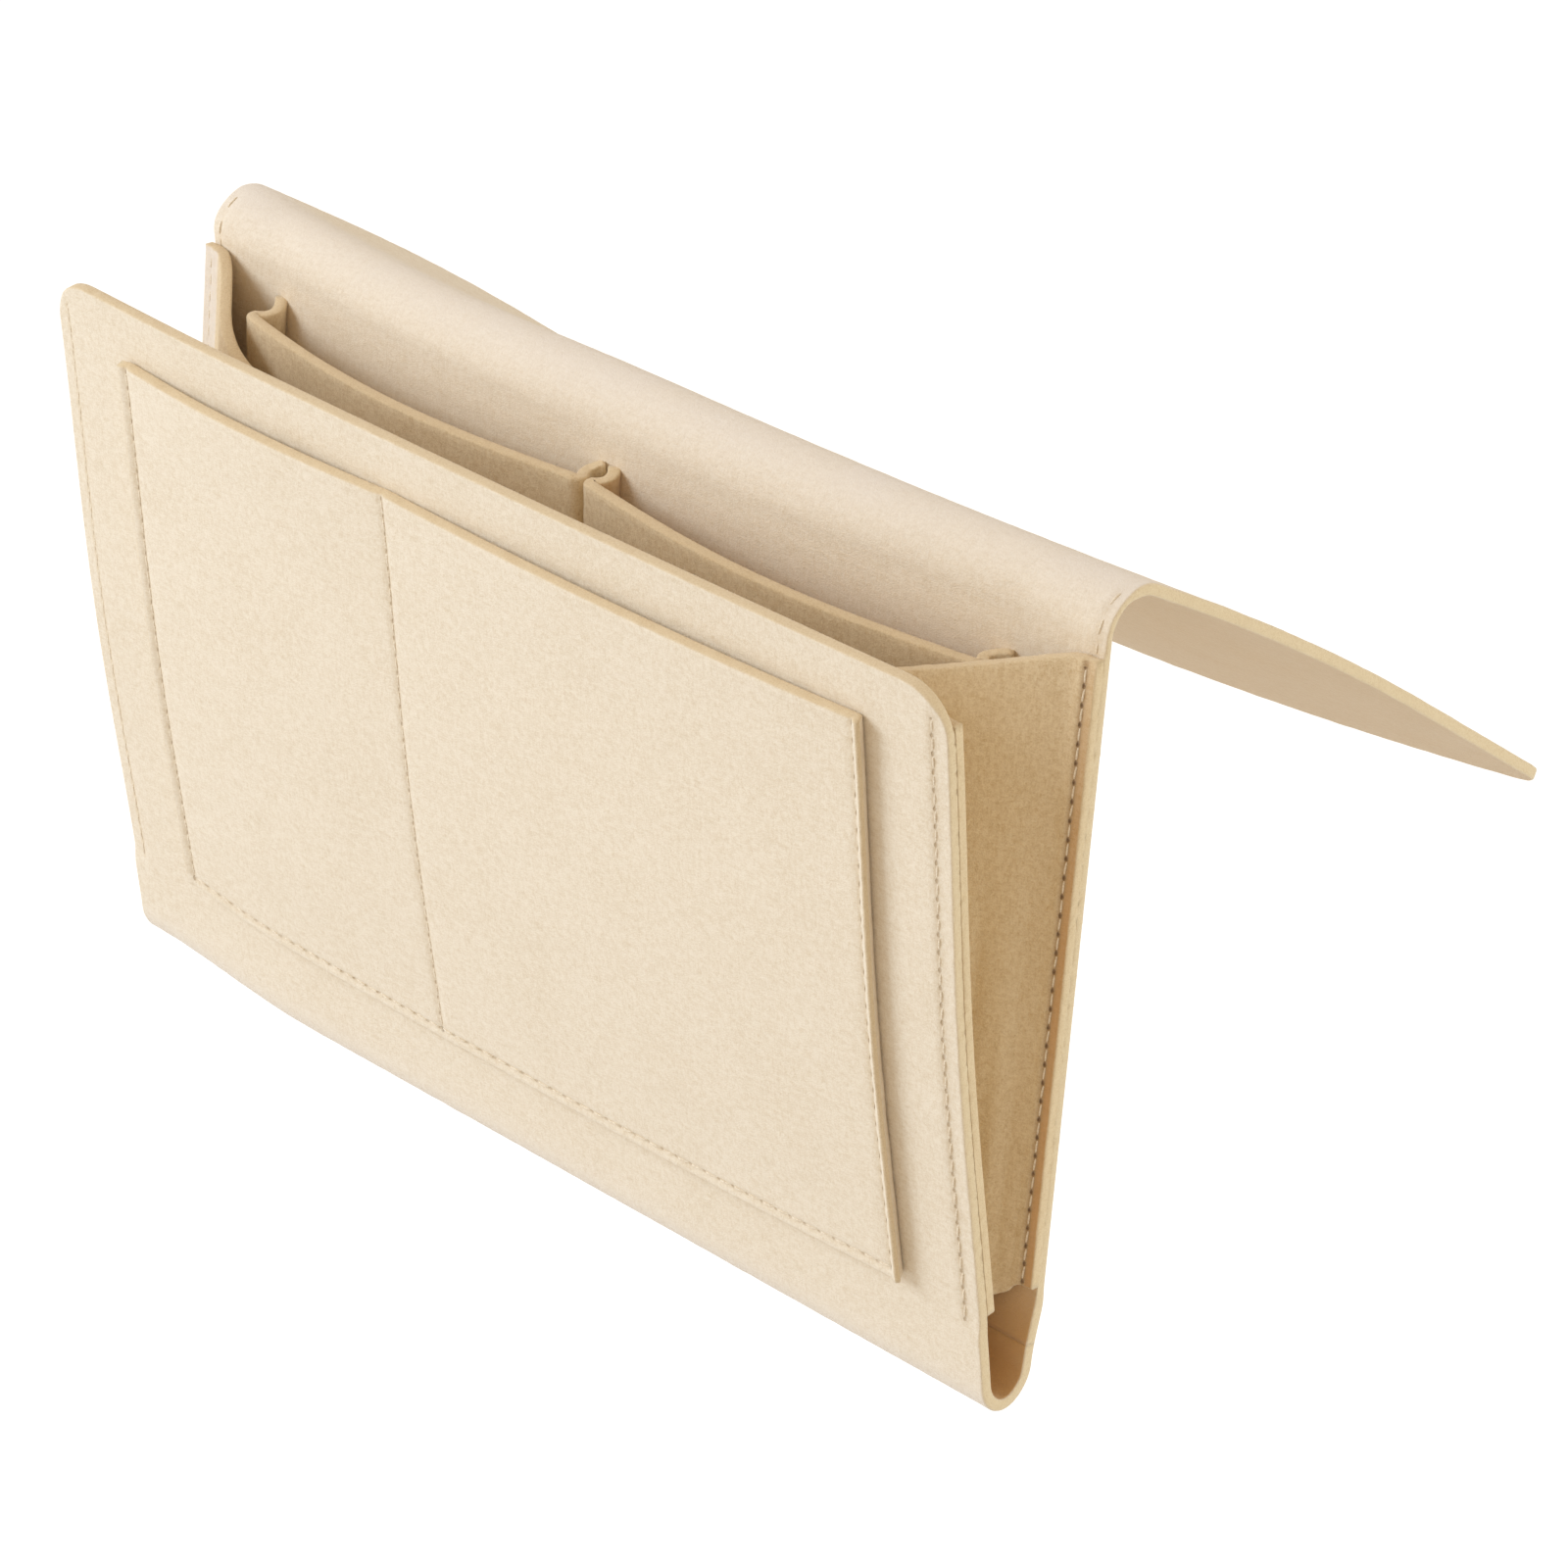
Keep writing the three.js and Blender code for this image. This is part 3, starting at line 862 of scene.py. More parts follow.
@dataclass
class Shell:
    """The long felt sheet: front panel, bottom fold, back panel, top bend and flap.

    The front panel and the fold are one piece and the rest another, which meet just above the
    fold on the back panel.
    """

    felt: FeltStock = field(default_factory=FeltStock)
    width: float = 342 * MM
    back_height: float = 210 * MM
    front_rise: float = 7.8 * MM
    base_radius: float = 7.5 * MM
    heel_pull: float = 2.8 * MM  # how far the back of the fold is drawn forward
    heel_high: float = 24 * MM  # the height at which that ends
    lean: float = 11.0
    front_corner: float = 14 * MM
    bend_radius: float = 9.5 * MM
    flap_length: float = 209 * MM
    flap_straight: float = 68 * MM
    flap_slope: float = 27.0
    flap_curl: float = 7.0
    flap_corner: float = 10 * MM
    junction: float = 6 * MM  # height at which the two pieces meet
    belly: float = 2.5 * MM  # how far the front panel curves outward half way up
    mouth_bow: float = 1.5 * MM  # and its top edge at mid-span
    hollow_depth: float = 8 * MM  # how far the back panel's top curves inward at mid-span
    hollow_half: float = 142 * MM  # the hollow ends here on both sides
    hollow_floor: float = 20 * MM  # and is level this far from mid-span
    hollow_low: float = 28 * MM  # height from which it grows
    flap_sag: float = 6 * MM  # how far the flap's flat stretch hangs lower at mid-span
    flap_twist: float = 5 * MM  # how far its left corner hangs lower, and its right one higher
    seam_x: float = 166 * MM
    rear_seam_x: float = 168 * MM
    seam_low: float = 22 * MM
    seam_high: float = 212 * MM
    rear_seam_high: float = 224 * MM  # along the felt, over the top bend
    fold_shade: float = 1.0  # how much painted shade the inner faces take at the bottom fold
    panel_shade: float = 0.22  # and higher up the back panel
    under_shade: float = 0.3  # and the flap's underside
    shade_high: float = 45 * MM  # height up to which the inner faces take more painted shade
    mouth_low: float = 185 * MM  # height from which the painted shade on the back panel's inner face fades
    mouth_reach: float = 35 * MM
    groove_half: float = 0.9 * MM  # half width of a seam's groove
    groove_ripple: float = 0.2  # how much shallower it is at the middle of a stitch
    left_groove_shade: float = 2.6  # how much darker the front seam's groove is painted at the left end, as painted shade
    fold_wear: float = 11 * MM  # how far the bottom fold is rubbed from its middle
    bend_pale_reach: float = 14 * MM  # and the top bend's paler band, part wear and part painted highlight, from where it is palest
    bend_pale: float = 0.85  # how pale it is there
    bend_pale_share: float = 0.85  # and how far along its arc that is

    @property
    def front_height(self) -> float:
        """From the bottom fold to the front panel's top edge."""
        return self.back_height + self.front_rise

    @property
    def base_middle(self) -> float:
        """Radius of the middle of the felt in the bottom fold."""
        return self.base_radius + self.felt.half

    @property
    def bend_middle(self) -> float:
        """Radius of the middle of the felt in the top bend."""
        return self.bend_radius + self.felt.half

    @property
    def bend_y(self) -> float:
        """Centre of the top bend."""
        return self.base_radius + self.felt.thickness + self.bend_radius

    @property
    def fold_length(self) -> float:
        """Length of felt in the bottom fold."""
        return self.base_middle * math.radians(180 - self.lean)

    @property
    def bend_length(self) -> float:
        """Length of felt in the top bend."""
        return self.bend_middle * math.radians(90 + self.flap_slope)

    @property
    def layer(self) -> float:
        """Depth of the middle of a sheet sewn inside a panel, from the fold's centre line."""
        return self.base_radius - self.felt.gap - self.felt.half

    def leaned(self, x: Array, depth: Array, height: Array) -> Array:
        """A place on something that leans forward with the front panel.

        It is turned about the fold's centre line by the lean.

        Args:
            x: distance along the bag.
            depth: depth in front of the fold's centre before it leans.
            height: height before it leans.

        Returns:
            The places, with x, y and z last.
        """
        angle = math.radians(self.lean)
        y, z = -depth, height
        return np.stack(np.broadcast_arrays(
            x, y * math.cos(angle) - z * math.sin(angle), y * math.sin(angle) + z * math.cos(angle),
        ), -1)

    def bulge(self, x: Array, height: Array) -> Array:
        """How far the front panel stands out from its plane.

        The belly times a raised cosine of the height, and the mouth's bow times a parabola
        across and the square of the height.

        Args:
            x: distance along the bag.
            height: height over the fold.

        Returns:
            The distance at each place.
        """
        share = np.clip(height / self.front_height, 0, 1)
        across = 1 - (2 * x / self.width) ** 2
        return self.belly * (1 - np.cos(2 * np.pi * share)) / 2 + self.mouth_bow * across * share**2

    def dish(self, x: Array) -> Array:
        """Share of the hollow across the back panel: level in the middle, then a parabola to 0."""
        rise = np.maximum(np.abs(x) - self.hollow_floor, 0) / (self.hollow_half - self.hollow_floor)
        return np.maximum(1 - rise**2, 0)

    def hollow(self, x: Array, height: Array) -> Array:
        """How far the back panel curves in: the dish, growing evenly with the height."""
        share = (height - self.hollow_low) / (self.back_height - self.hollow_low)
        return self.hollow_depth * self.dish(x) * np.clip(share, 0, 1)

    def front(self, x: Array, height: Array, out: Array | float = 0.0) -> Array:
        """A place on the front panel, out from the middle of its felt."""
        return self.leaned(x, self.base_middle + self.bulge(x, height) + out, height)

    def back(self, x: Array, height: Array, out: Array | float = 0.0) -> Array:
        """A place on the back panel: on its plane, less the hollow and the drawn heel.

        Args:
            x: distance along the bag.
            height: height over the fold.
            out: distance rearwards from the middle of its felt.

        Returns:
            The places, with x, y and z last.
        """
        heel = self.heel_pull * (1 - smooth(height / self.heel_high))
        y = self.base_middle - self.hollow(x, height) - heel + out
        return np.stack(np.broadcast_arrays(x, y, height), -1)

    def fold(self, x: Array, length: Array) -> Array:
        """A place in the bottom fold: on an arc, whose rear is drawn forward smoothly.

        Args:
            x: distance along the bag.
            length: length of felt from the front panel.

        Returns:
            The places, with x, y and z last.
        """
        angle = math.radians(self.lean - 180) + length / self.base_middle
        y, z = self.base_middle * np.cos(angle), self.base_middle * np.sin(angle)
        y = y - self.heel_pull * smooth((1 + np.cos(angle)) / 2)
        return np.stack(np.broadcast_arrays(x, y, z), -1)

    def top(self, x: Array, length: Array, out: Array | float = 0.0) -> Array:
        """A place in the top bend or on the flap, towards the underside by out.

        The bend is an arc. The flap leaves it on a wide curve, whose chord is its length times
        sin(a)/a for half its turn a, and ends straight. Along the bend the hollow of the back
        panel's top widens to a parabola over the full width. The flap sags by such a parabola
        until its flat stretch, and twists evenly along its length.

        Args:
            x: distance along the bag.
            length: length of felt from the back panel's top.
            out: distance from the middle of the felt, towards the underside.

        Returns:
            The places, with x, y and z last.
        """
        angle = np.pi - np.clip(length, 0, self.bend_length) / self.bend_middle
        beyond = np.maximum(length - self.bend_length, 0)
        curved = self.flap_length - self.flap_straight
        bent = np.minimum(beyond, curved)
        half_turn = math.radians(self.flap_curl) * bent / curved / 2
        chord, rest = bent * np.sinc(half_turn / np.pi), beyond - bent
        start = math.radians(self.flap_slope)
        middle, slope = start + half_turn, start + 2 * half_turn
        reach = self.bend_radius + self.felt.thickness
        depth = self.felt.half + out
        run = reach * math.sin(start) + chord * np.cos(middle) + rest * np.cos(slope)
        fall = chord * np.sin(middle) + rest * np.sin(slope) - reach * math.cos(start)
        bend_y = (self.bend_middle - out) * np.cos(angle)
        bend_z = (self.bend_middle - out) * np.sin(angle)
        across = 1 - (2 * x / self.width) ** 2
        widened = smooth(length / self.bend_length)
        hollow = self.hollow_depth * (self.dish(x) * (1 - widened) + across * widened)
        sag = self.flap_sag * across * smooth(beyond / curved)
        twist = -self.flap_twist * 2 * x / self.width * beyond / self.flap_length
        y = self.bend_y + np.where(beyond > 0, run - depth * np.sin(slope), bend_y) - hollow
        z = self.back_height + np.where(beyond > 0, -fall - depth * np.cos(slope), bend_z) - sag - twist
        return np.stack(np.broadcast_arrays(x, y, z), -1)

    def half_width(self, distance: Array, corner: float) -> Array:
        """Half width of the face grid, which ends inside the rim and follows round corners.

        Args:
            distance: distance from the edge that has the corners.
            corner: their radius.

        Returns:
            The half width at each distance.
        """
        rise = np.maximum(corner - distance, 0)
        round_part = np.sqrt(np.maximum((corner - self.felt.rim) ** 2 - rise**2, 0))
        return self.width / 2 - corner + np.where(distance < corner, round_part, corner - self.felt.rim)

    def corner_rows(self, corner: float) -> Array:
        """Distances from a round-cornered edge at which its outline needs a row of points."""
        inner = corner - self.felt.rim
        return corner - inner * np.sin(np.linspace(np.pi / 2, 0, 11))

    def columns(self) -> Array:
        """Places across the sheet for its full width, closer at the side seams.

        Returns:
            The places, from +x to -x.
        """
        edge = self.width / 2 - self.felt.rim
        half = stations(0, edge, 3.0 * MM, (self.seam_x, edge), 0.5 * MM)
        return np.concatenate([half[:0:-1], -half])

    def groove(self, x: Array, height: Array, seam_x: float, low: float, high: float) -> Array:
        """Share of the sewn groove at a place: a bell about the seam line, over its length.

        It is shallower where the felt puffs up at the middle of each stitch.

        Args:
            x: distance along the bag.
            height: length of felt up from the fold.
            seam_x: where the seam runs, on both sides.
            low: height of its lower end.
            high: height of its upper end.

        Returns:
            0 to 1 for each place.
        """
        along = 1 - self.groove_ripple * (1 - np.cos(2 * np.pi * height / Thread.pitch))
        return bell(np.abs(x) - seam_x, self.groove_half) * within(height, low, high, 3 * MM) * along

    def front_face(self, x: Array, height: Array) -> Array:
        """From the middle of the front panel's felt to its outside face.

        Half the thickness, swollen at the top edge, less the groove and the pinch beyond it.

        Args:
            x: distance along the bag.
            height: height over the fold.

        Returns:
            The distance at each place.
        """
        groove = self.groove(x, height, self.seam_x, self.seam_low, self.seam_high)
        pressed = self.felt.pressed(np.abs(x) - self.seam_x) * self.sewn(height, self.seam_high)
        edge = smooth(1 - (self.front_height - height) / (4 * MM))
        return self.felt.half + self.felt.swell * edge - self.felt.sunk * groove - pressed

    def sewn(self, height: Array, high: float) -> Array:
        """Share of a side edge that is sewn at a height: 1 from below the seam to its upper end."""
        return within(height, self.seam_low - 2 * MM, high, 8 * MM)

    def inner_shade(self, height: Array) -> Array:
        """How much painted shade an inner face takes: least high up, rising smoothly towards the fold."""
        return self.fold_shade - (self.fold_shade - self.panel_shade) * smooth(height / self.shade_high)

    def make_front(self) -> bpy.types.Object:
        """Front panel and bottom fold, up to the junction on the back panel.

        Returns:
            The new object.
        """
        corner = self.corner_rows(self.front_corner)
        run = self.front_height + self.fold_length + self.junction
        length = np.concatenate([
            corner[:-1],
            stations(self.front_corner, self.front_height - 2 * MM, 1.4 * MM)[:-1],
            stations(self.front_height - 2 * MM, run, 1.1 * MM),
        ])[:, None]
        edge = self.width / 2 - self.felt.rim
        x = self.columns()[None, :] * self.half_width(length, self.front_corner) / edge
        height = self.front_height - length
        rise = -height - self.fold_length
        lower = np.where((rise >= 0)[..., None], self.back(x, rise), self.fold(x, -height))
        middle = np.where((height >= 0)[..., None], self.front(x, height), lower)
        groove = self.groove(x, height, self.seam_x, self.seam_low, self.seam_high)
        low, high = self.seam_low, self.seam_high - 2 * MM
        beyond_seam = np.abs(x) - self.seam_x
        sheet = FeltSheet(
            name="front_sheet",
            middle=middle,
            outside=self.front_face(x, height),
            inside=0 * x + self.felt.half,
            # Painted shade in the seam grooves, darker at the left end
            seam=groove * np.where(x < 0, self.left_groove_shade, 1.0),
            wear_and_highlight=bell(height + self.fold_length / 2, self.fold_wear),
            stitch=Thread().phase(height, low, high),
            off=Thread().offset(beyond_seam, height + 0 * x, low, high),
            mated=smooth((beyond_seam + 2 * MM) / (2 * MM)) * self.sewn(height, 206 * MM),
            # Painted shade on the inner face, strongest in the fold
            tan=(0.0, self.inner_shade(height)),
            free=(True, True, False, True),
            stock=self.felt,
        )
        piece = sheet.build(FeltFinish())
        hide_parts("front_panel", "bottom_fold")
        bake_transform(piece)
        return piece

    def make_rear(self) -> bpy.types.Object:
        """Back panel above the junction, top bend and flap.

        Returns:
            The new object.
        """
        rise = self.back_height - self.junction
        end = rise + self.bend_length + self.flap_length
        corner = self.corner_rows(self.flap_corner)
        length = np.concatenate([
            stations(0, rise - 4 * MM, 1.6 * MM)[:-1],
            stations(rise - 4 * MM, rise + self.bend_length + 4 * MM, 1.1 * MM)[:-1],
            stations(rise + self.bend_length + 4 * MM, end - self.flap_corner, 3 * MM)[:-1],
            end - corner[::-1],
        ])[:, None]
        edge = self.width / 2 - self.felt.rim
        x = self.columns()[None, :] * self.half_width(end - length, self.flap_corner) / edge
        height = self.junction + length
        beyond = length - rise
        low, high = self.seam_low + 3 * MM, self.rear_seam_high
        beyond_seam = np.abs(x) - self.rear_seam_x
        groove = self.groove(x, height, self.rear_seam_x, low, high)
        pressed = self.felt.pressed(beyond_seam)
        over_bend = within(height, 206 * MM, high, 6 * MM)
        # Painted shade on the inner face, fading towards the mouth
        inner = self.inner_shade(height) * (1 - smooth((height - self.mouth_low) / self.mouth_reach))
        sheet = FeltSheet(
            name="rear_sheet",
            middle=np.where((beyond < 0)[..., None], self.back(x, height), self.top(x, beyond)),
            outside=self.felt.half - self.felt.sunk * groove - pressed * self.sewn(height, high),
            inside=self.felt.half - (self.felt.sunk * groove + pressed * 0.6) * over_bend,
            seam=groove,
            # Paler band over the top bend: part wear, part painted highlight
            wear_and_highlight=self.bend_pale * bell(beyond - self.bend_length * self.bend_pale_share, self.bend_pale_reach),
            stitch=Thread().phase(height, low, high),
            off=Thread().offset(beyond_seam, height + 0 * x, low, high),
            mated=smooth((beyond_seam + 3 * MM) / (2 * MM)) * self.sewn(height, 203 * MM),
            # Painted shade on the flap's underside and on the inner face
            tan=(self.under_shade * smooth(beyond / self.bend_length), inner),
            free=(False, True, True, True),
            stock=self.felt,
        )
        piece = sheet.build(FeltFinish())
        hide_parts("back_panel", "top_bend", "flap")
        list(self.bend_ends())
        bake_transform(piece)
        return piece

    def bend_ends(self) -> tuple[tuple[float, float, float], tuple[float, float, float]]:
        """Where the top bend starts and ends at mid-span."""
        ends = self.top(np.zeros(2), np.array([0.0, self.bend_length]))
        return tuple(ORIGIN + ends[0]), tuple(ORIGIN + ends[1])

    def make_thread(self) -> None:
        """Stitches of the front side seams, on the front panel's face."""
        for side in Side:
            def place(height: Array, lift: float, side: Side = side) -> Array:
                """Points over the seam's groove."""
                x = 0 * height + side.value * self.seam_x
                return self.front(x, height, self.front_face(x, height) + lift)

            row = Thread().row(place, self.seam_low, self.seam_high - 2 * MM)
            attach(Thread().sew(f"{side.label}_front_thread", [row]), "front")

    def make(self) -> None:
        """Builds the sheet's two pieces and its seams."""
        self.make_front()
        self.make_rear()
        self.make_thread()


@dataclass
class Patch:
    """Flat felt rectangle sewn on the front panel, with a middle seam that makes two pockets."""

    shell: Shell
    inset: float = 28 * MM
    drop: float = 15.5 * MM
    bottom: float = 27 * MM
    divider: float = -31.5 * MM
    seam_inset: float = 3.2 * MM
    puff: float = 0.9 * MM  # how far it lifts off between its seams
    gape: float = 1.0 * MM  # how far its mouths lift off
    shift: float = 2.5 * MM  # how far both its ends are to the right
    spread: float = 1.5 * MM  # how much wider it is at its lower right corner
    sag: float = 3.2 * MM  # how far its foot hangs lower at mid-span
    curl: float = 1.3 * MM  # how far its right edge curls up beyond the seam, and its left one half that
    thinned: float = 1.8 * MM  # how much thinner the felt is there, pressed by the seam
    groove_deep: float = 0.6 * MM
    puff_reach: float = 30 * MM  # the height over which it comes free of the bottom seam
    gape_reach: float = 40 * MM  # and over which its mouths open

    @property
    def half(self) -> float:
        """Half its width."""
        return self.shell.width / 2 - self.inset

    @property
    def top(self) -> float:
        """Height of its mouths."""
        return self.shell.front_height - self.drop

    def seam_places(self) -> tuple[float, float, float]:
        """Where the upright seams run."""
        return -self.half + self.seam_inset, self.divider, self.half - self.seam_inset

    def lift(self, x: Array, height: Array) -> Array:
        """How far the patch stands off the panel.

        Between each two seams it is a parabola across. Its height is the puff, held down at the
        bottom seam, and grows by the gape towards the mouth. Beyond the side seams it curls up.

        Args:
            x: distance along the bag.
            height: height over the fold.

        Returns:
            The distance at each place.
        """
        left, middle, right = self.seam_places()
        low = np.where(x < middle, left, middle)
        high = np.where(x < middle, middle, right)
        share = np.clip((x - low) / (high - low), 0, 1)
        arch = 4 * share * (1 - share)
        held = smooth((height - self.bottom - self.seam_inset) / self.puff_reach)
        mouth = smooth((height - self.top + self.gape_reach) / self.gape_reach)
        flare = np.where(x > 0, self.curl, self.curl / 2) * smooth((np.abs(x) - right) / (3 * MM))
        return arch * (self.puff * held + self.gape * mouth) + flare

    def groove(self, x: Array, height: Array) -> Array:
        """Share of the sewn grooves: bells about the three upright seams and the bottom one.

        Args:
            x: distance along the bag.
            height: height over the fold.

        Returns:
            0 to 1 for each place.
        """
        ripple, half = self.shell.groove_ripple, self.shell.groove_half
        seam_z = self.bottom + self.seam_inset
        left, _, right = self.seam_places()
        upright = sum(bell(x - place, half) for place in self.seam_places())
        upright = upright * smooth((height - seam_z) / MM)
        upright = upright * (1 - ripple * (1 - np.cos(2 * np.pi * height / Thread.pitch)))
        level = bell(height - seam_z, half) * within(x, left, right, 2 * MM)
        return np.maximum(upright, level * (1 - ripple * (1 - np.cos(2 * np.pi * x / Thread.pitch))))

    def face(self, x: Array, height: Array) -> Array:
        """From the middle of the patch's felt to its outside face."""
        swell = self.shell.felt.swell * smooth(1 - (self.top - height) / (4 * MM))
        return self.shell.felt.half + swell - self.groove_deep * self.groove(x, height)

    def holes(self, x: Array, height: Array) -> tuple[Array, Array]:
        """Where each point is on the nearest seam.

        Args:
            x: distance along the bag.
            height: height over the fold.

        Returns:
            Stitches counted along that seam, and the millimetres from it.
        """
        left, _, right = self.seam_places()
        thread, seam_z, high = Thread(), self.bottom + self.seam_inset, self.top - 1.5 * MM
        rows = [(x - place, height, seam_z, high) for place in self.seam_places()]
        rows.append((height - seam_z, x, left, right))
        off = np.stack([thread.offset(*row) for row in rows])
        phase = np.stack([thread.phase(*row[1:]) for row in rows])
        nearest = off.argmin(axis=0)[None]
        return np.take_along_axis(phase, nearest, 0)[0], np.take_along_axis(off, nearest, 0)[0]

    def place(self, x: Array, height: Array, out: Array | float = 0.0) -> Array:
        """A place on the patch, out from the middle of its felt.

        The flat patch is shifted away from its middle seam, spread linearly towards its lower
        right corner, and its foot hangs lower by a parabola.

        Args:
            x: distance along the patch before that.
            height: height on it before that.
            out: distance from the middle of its felt.

        Returns:
            The places, with x, y and z last.
        """
        felt = self.shell.felt
        low = 1 - np.clip((height - self.bottom) / (self.top - self.bottom), 0, 1)
        across = 1 - (x / self.half) ** 2
        depth = felt.thickness + felt.gap + self.lift(x, height) + out
        shifted = x + self.shift * (1 - bell(x - self.divider, 40 * MM))
        return self.shell.front(
            shifted + self.spread * low * smooth(x / self.half), height - self.sag * across * low, depth,
        )

    def make(self) -> None:
        """Builds the patch and its thread."""
        rim = self.shell.felt.rim
        left, middle, right = self.seam_places()
        x = stations(rim - self.half, self.half - rim, 2.8 * MM, (left, middle, right), 0.5 * MM)[None, ::-1]
        low, high = self.bottom + rim, self.top - rim
        height = stations(low, high, 1.5 * MM, (self.bottom + self.seam_inset,), 0.5 * MM)[::-1, None]
        x, height = np.broadcast_arrays(x, height)
        stitch, off = self.holes(x, height)
        sheet = FeltSheet(
            name="pocket_patch",
            middle=self.place(x, height),
            outside=self.face(x, height),
            inside=self.shell.felt.half - self.thinned * smooth((x - right) / (2.5 * MM)),
            seam=self.groove(x, height),
            wear_and_highlight=0 * x,
            stitch=stitch,
            off=off,
            stock=self.shell.felt,
        )
        piece = sheet.build(FeltFinish())
        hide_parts("front_patch")
        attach(piece, "front")
        self.top - self.bottom
        self.make_thread()

    def make_thread(self) -> None:
        """Stitches of the two side seams, the middle seam and the bottom seam."""
        seam_z = self.bottom + self.seam_inset
        rows = []
        for place_x in self.seam_places():
            def upright(height: Array, lift: float, place_x: float = place_x) -> Array:
                """Points over an upright seam's groove."""
                x = 0 * height + place_x
                return self.place(x, height, self.face(x, height) + lift)

            rows.append(Thread().row(upright, seam_z, self.top - 1.5 * MM))

        def level(x: Array, lift: float) -> Array:
            """Points over the bottom seam's groove."""
            height = 0 * x + seam_z
            return self.place(x, height, self.face(x, height) + lift)

        left, _, right = self.seam_places()
        rows.append(Thread().row(level, left, right))
        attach(Thread().sew("patch_thread", rows), "front")


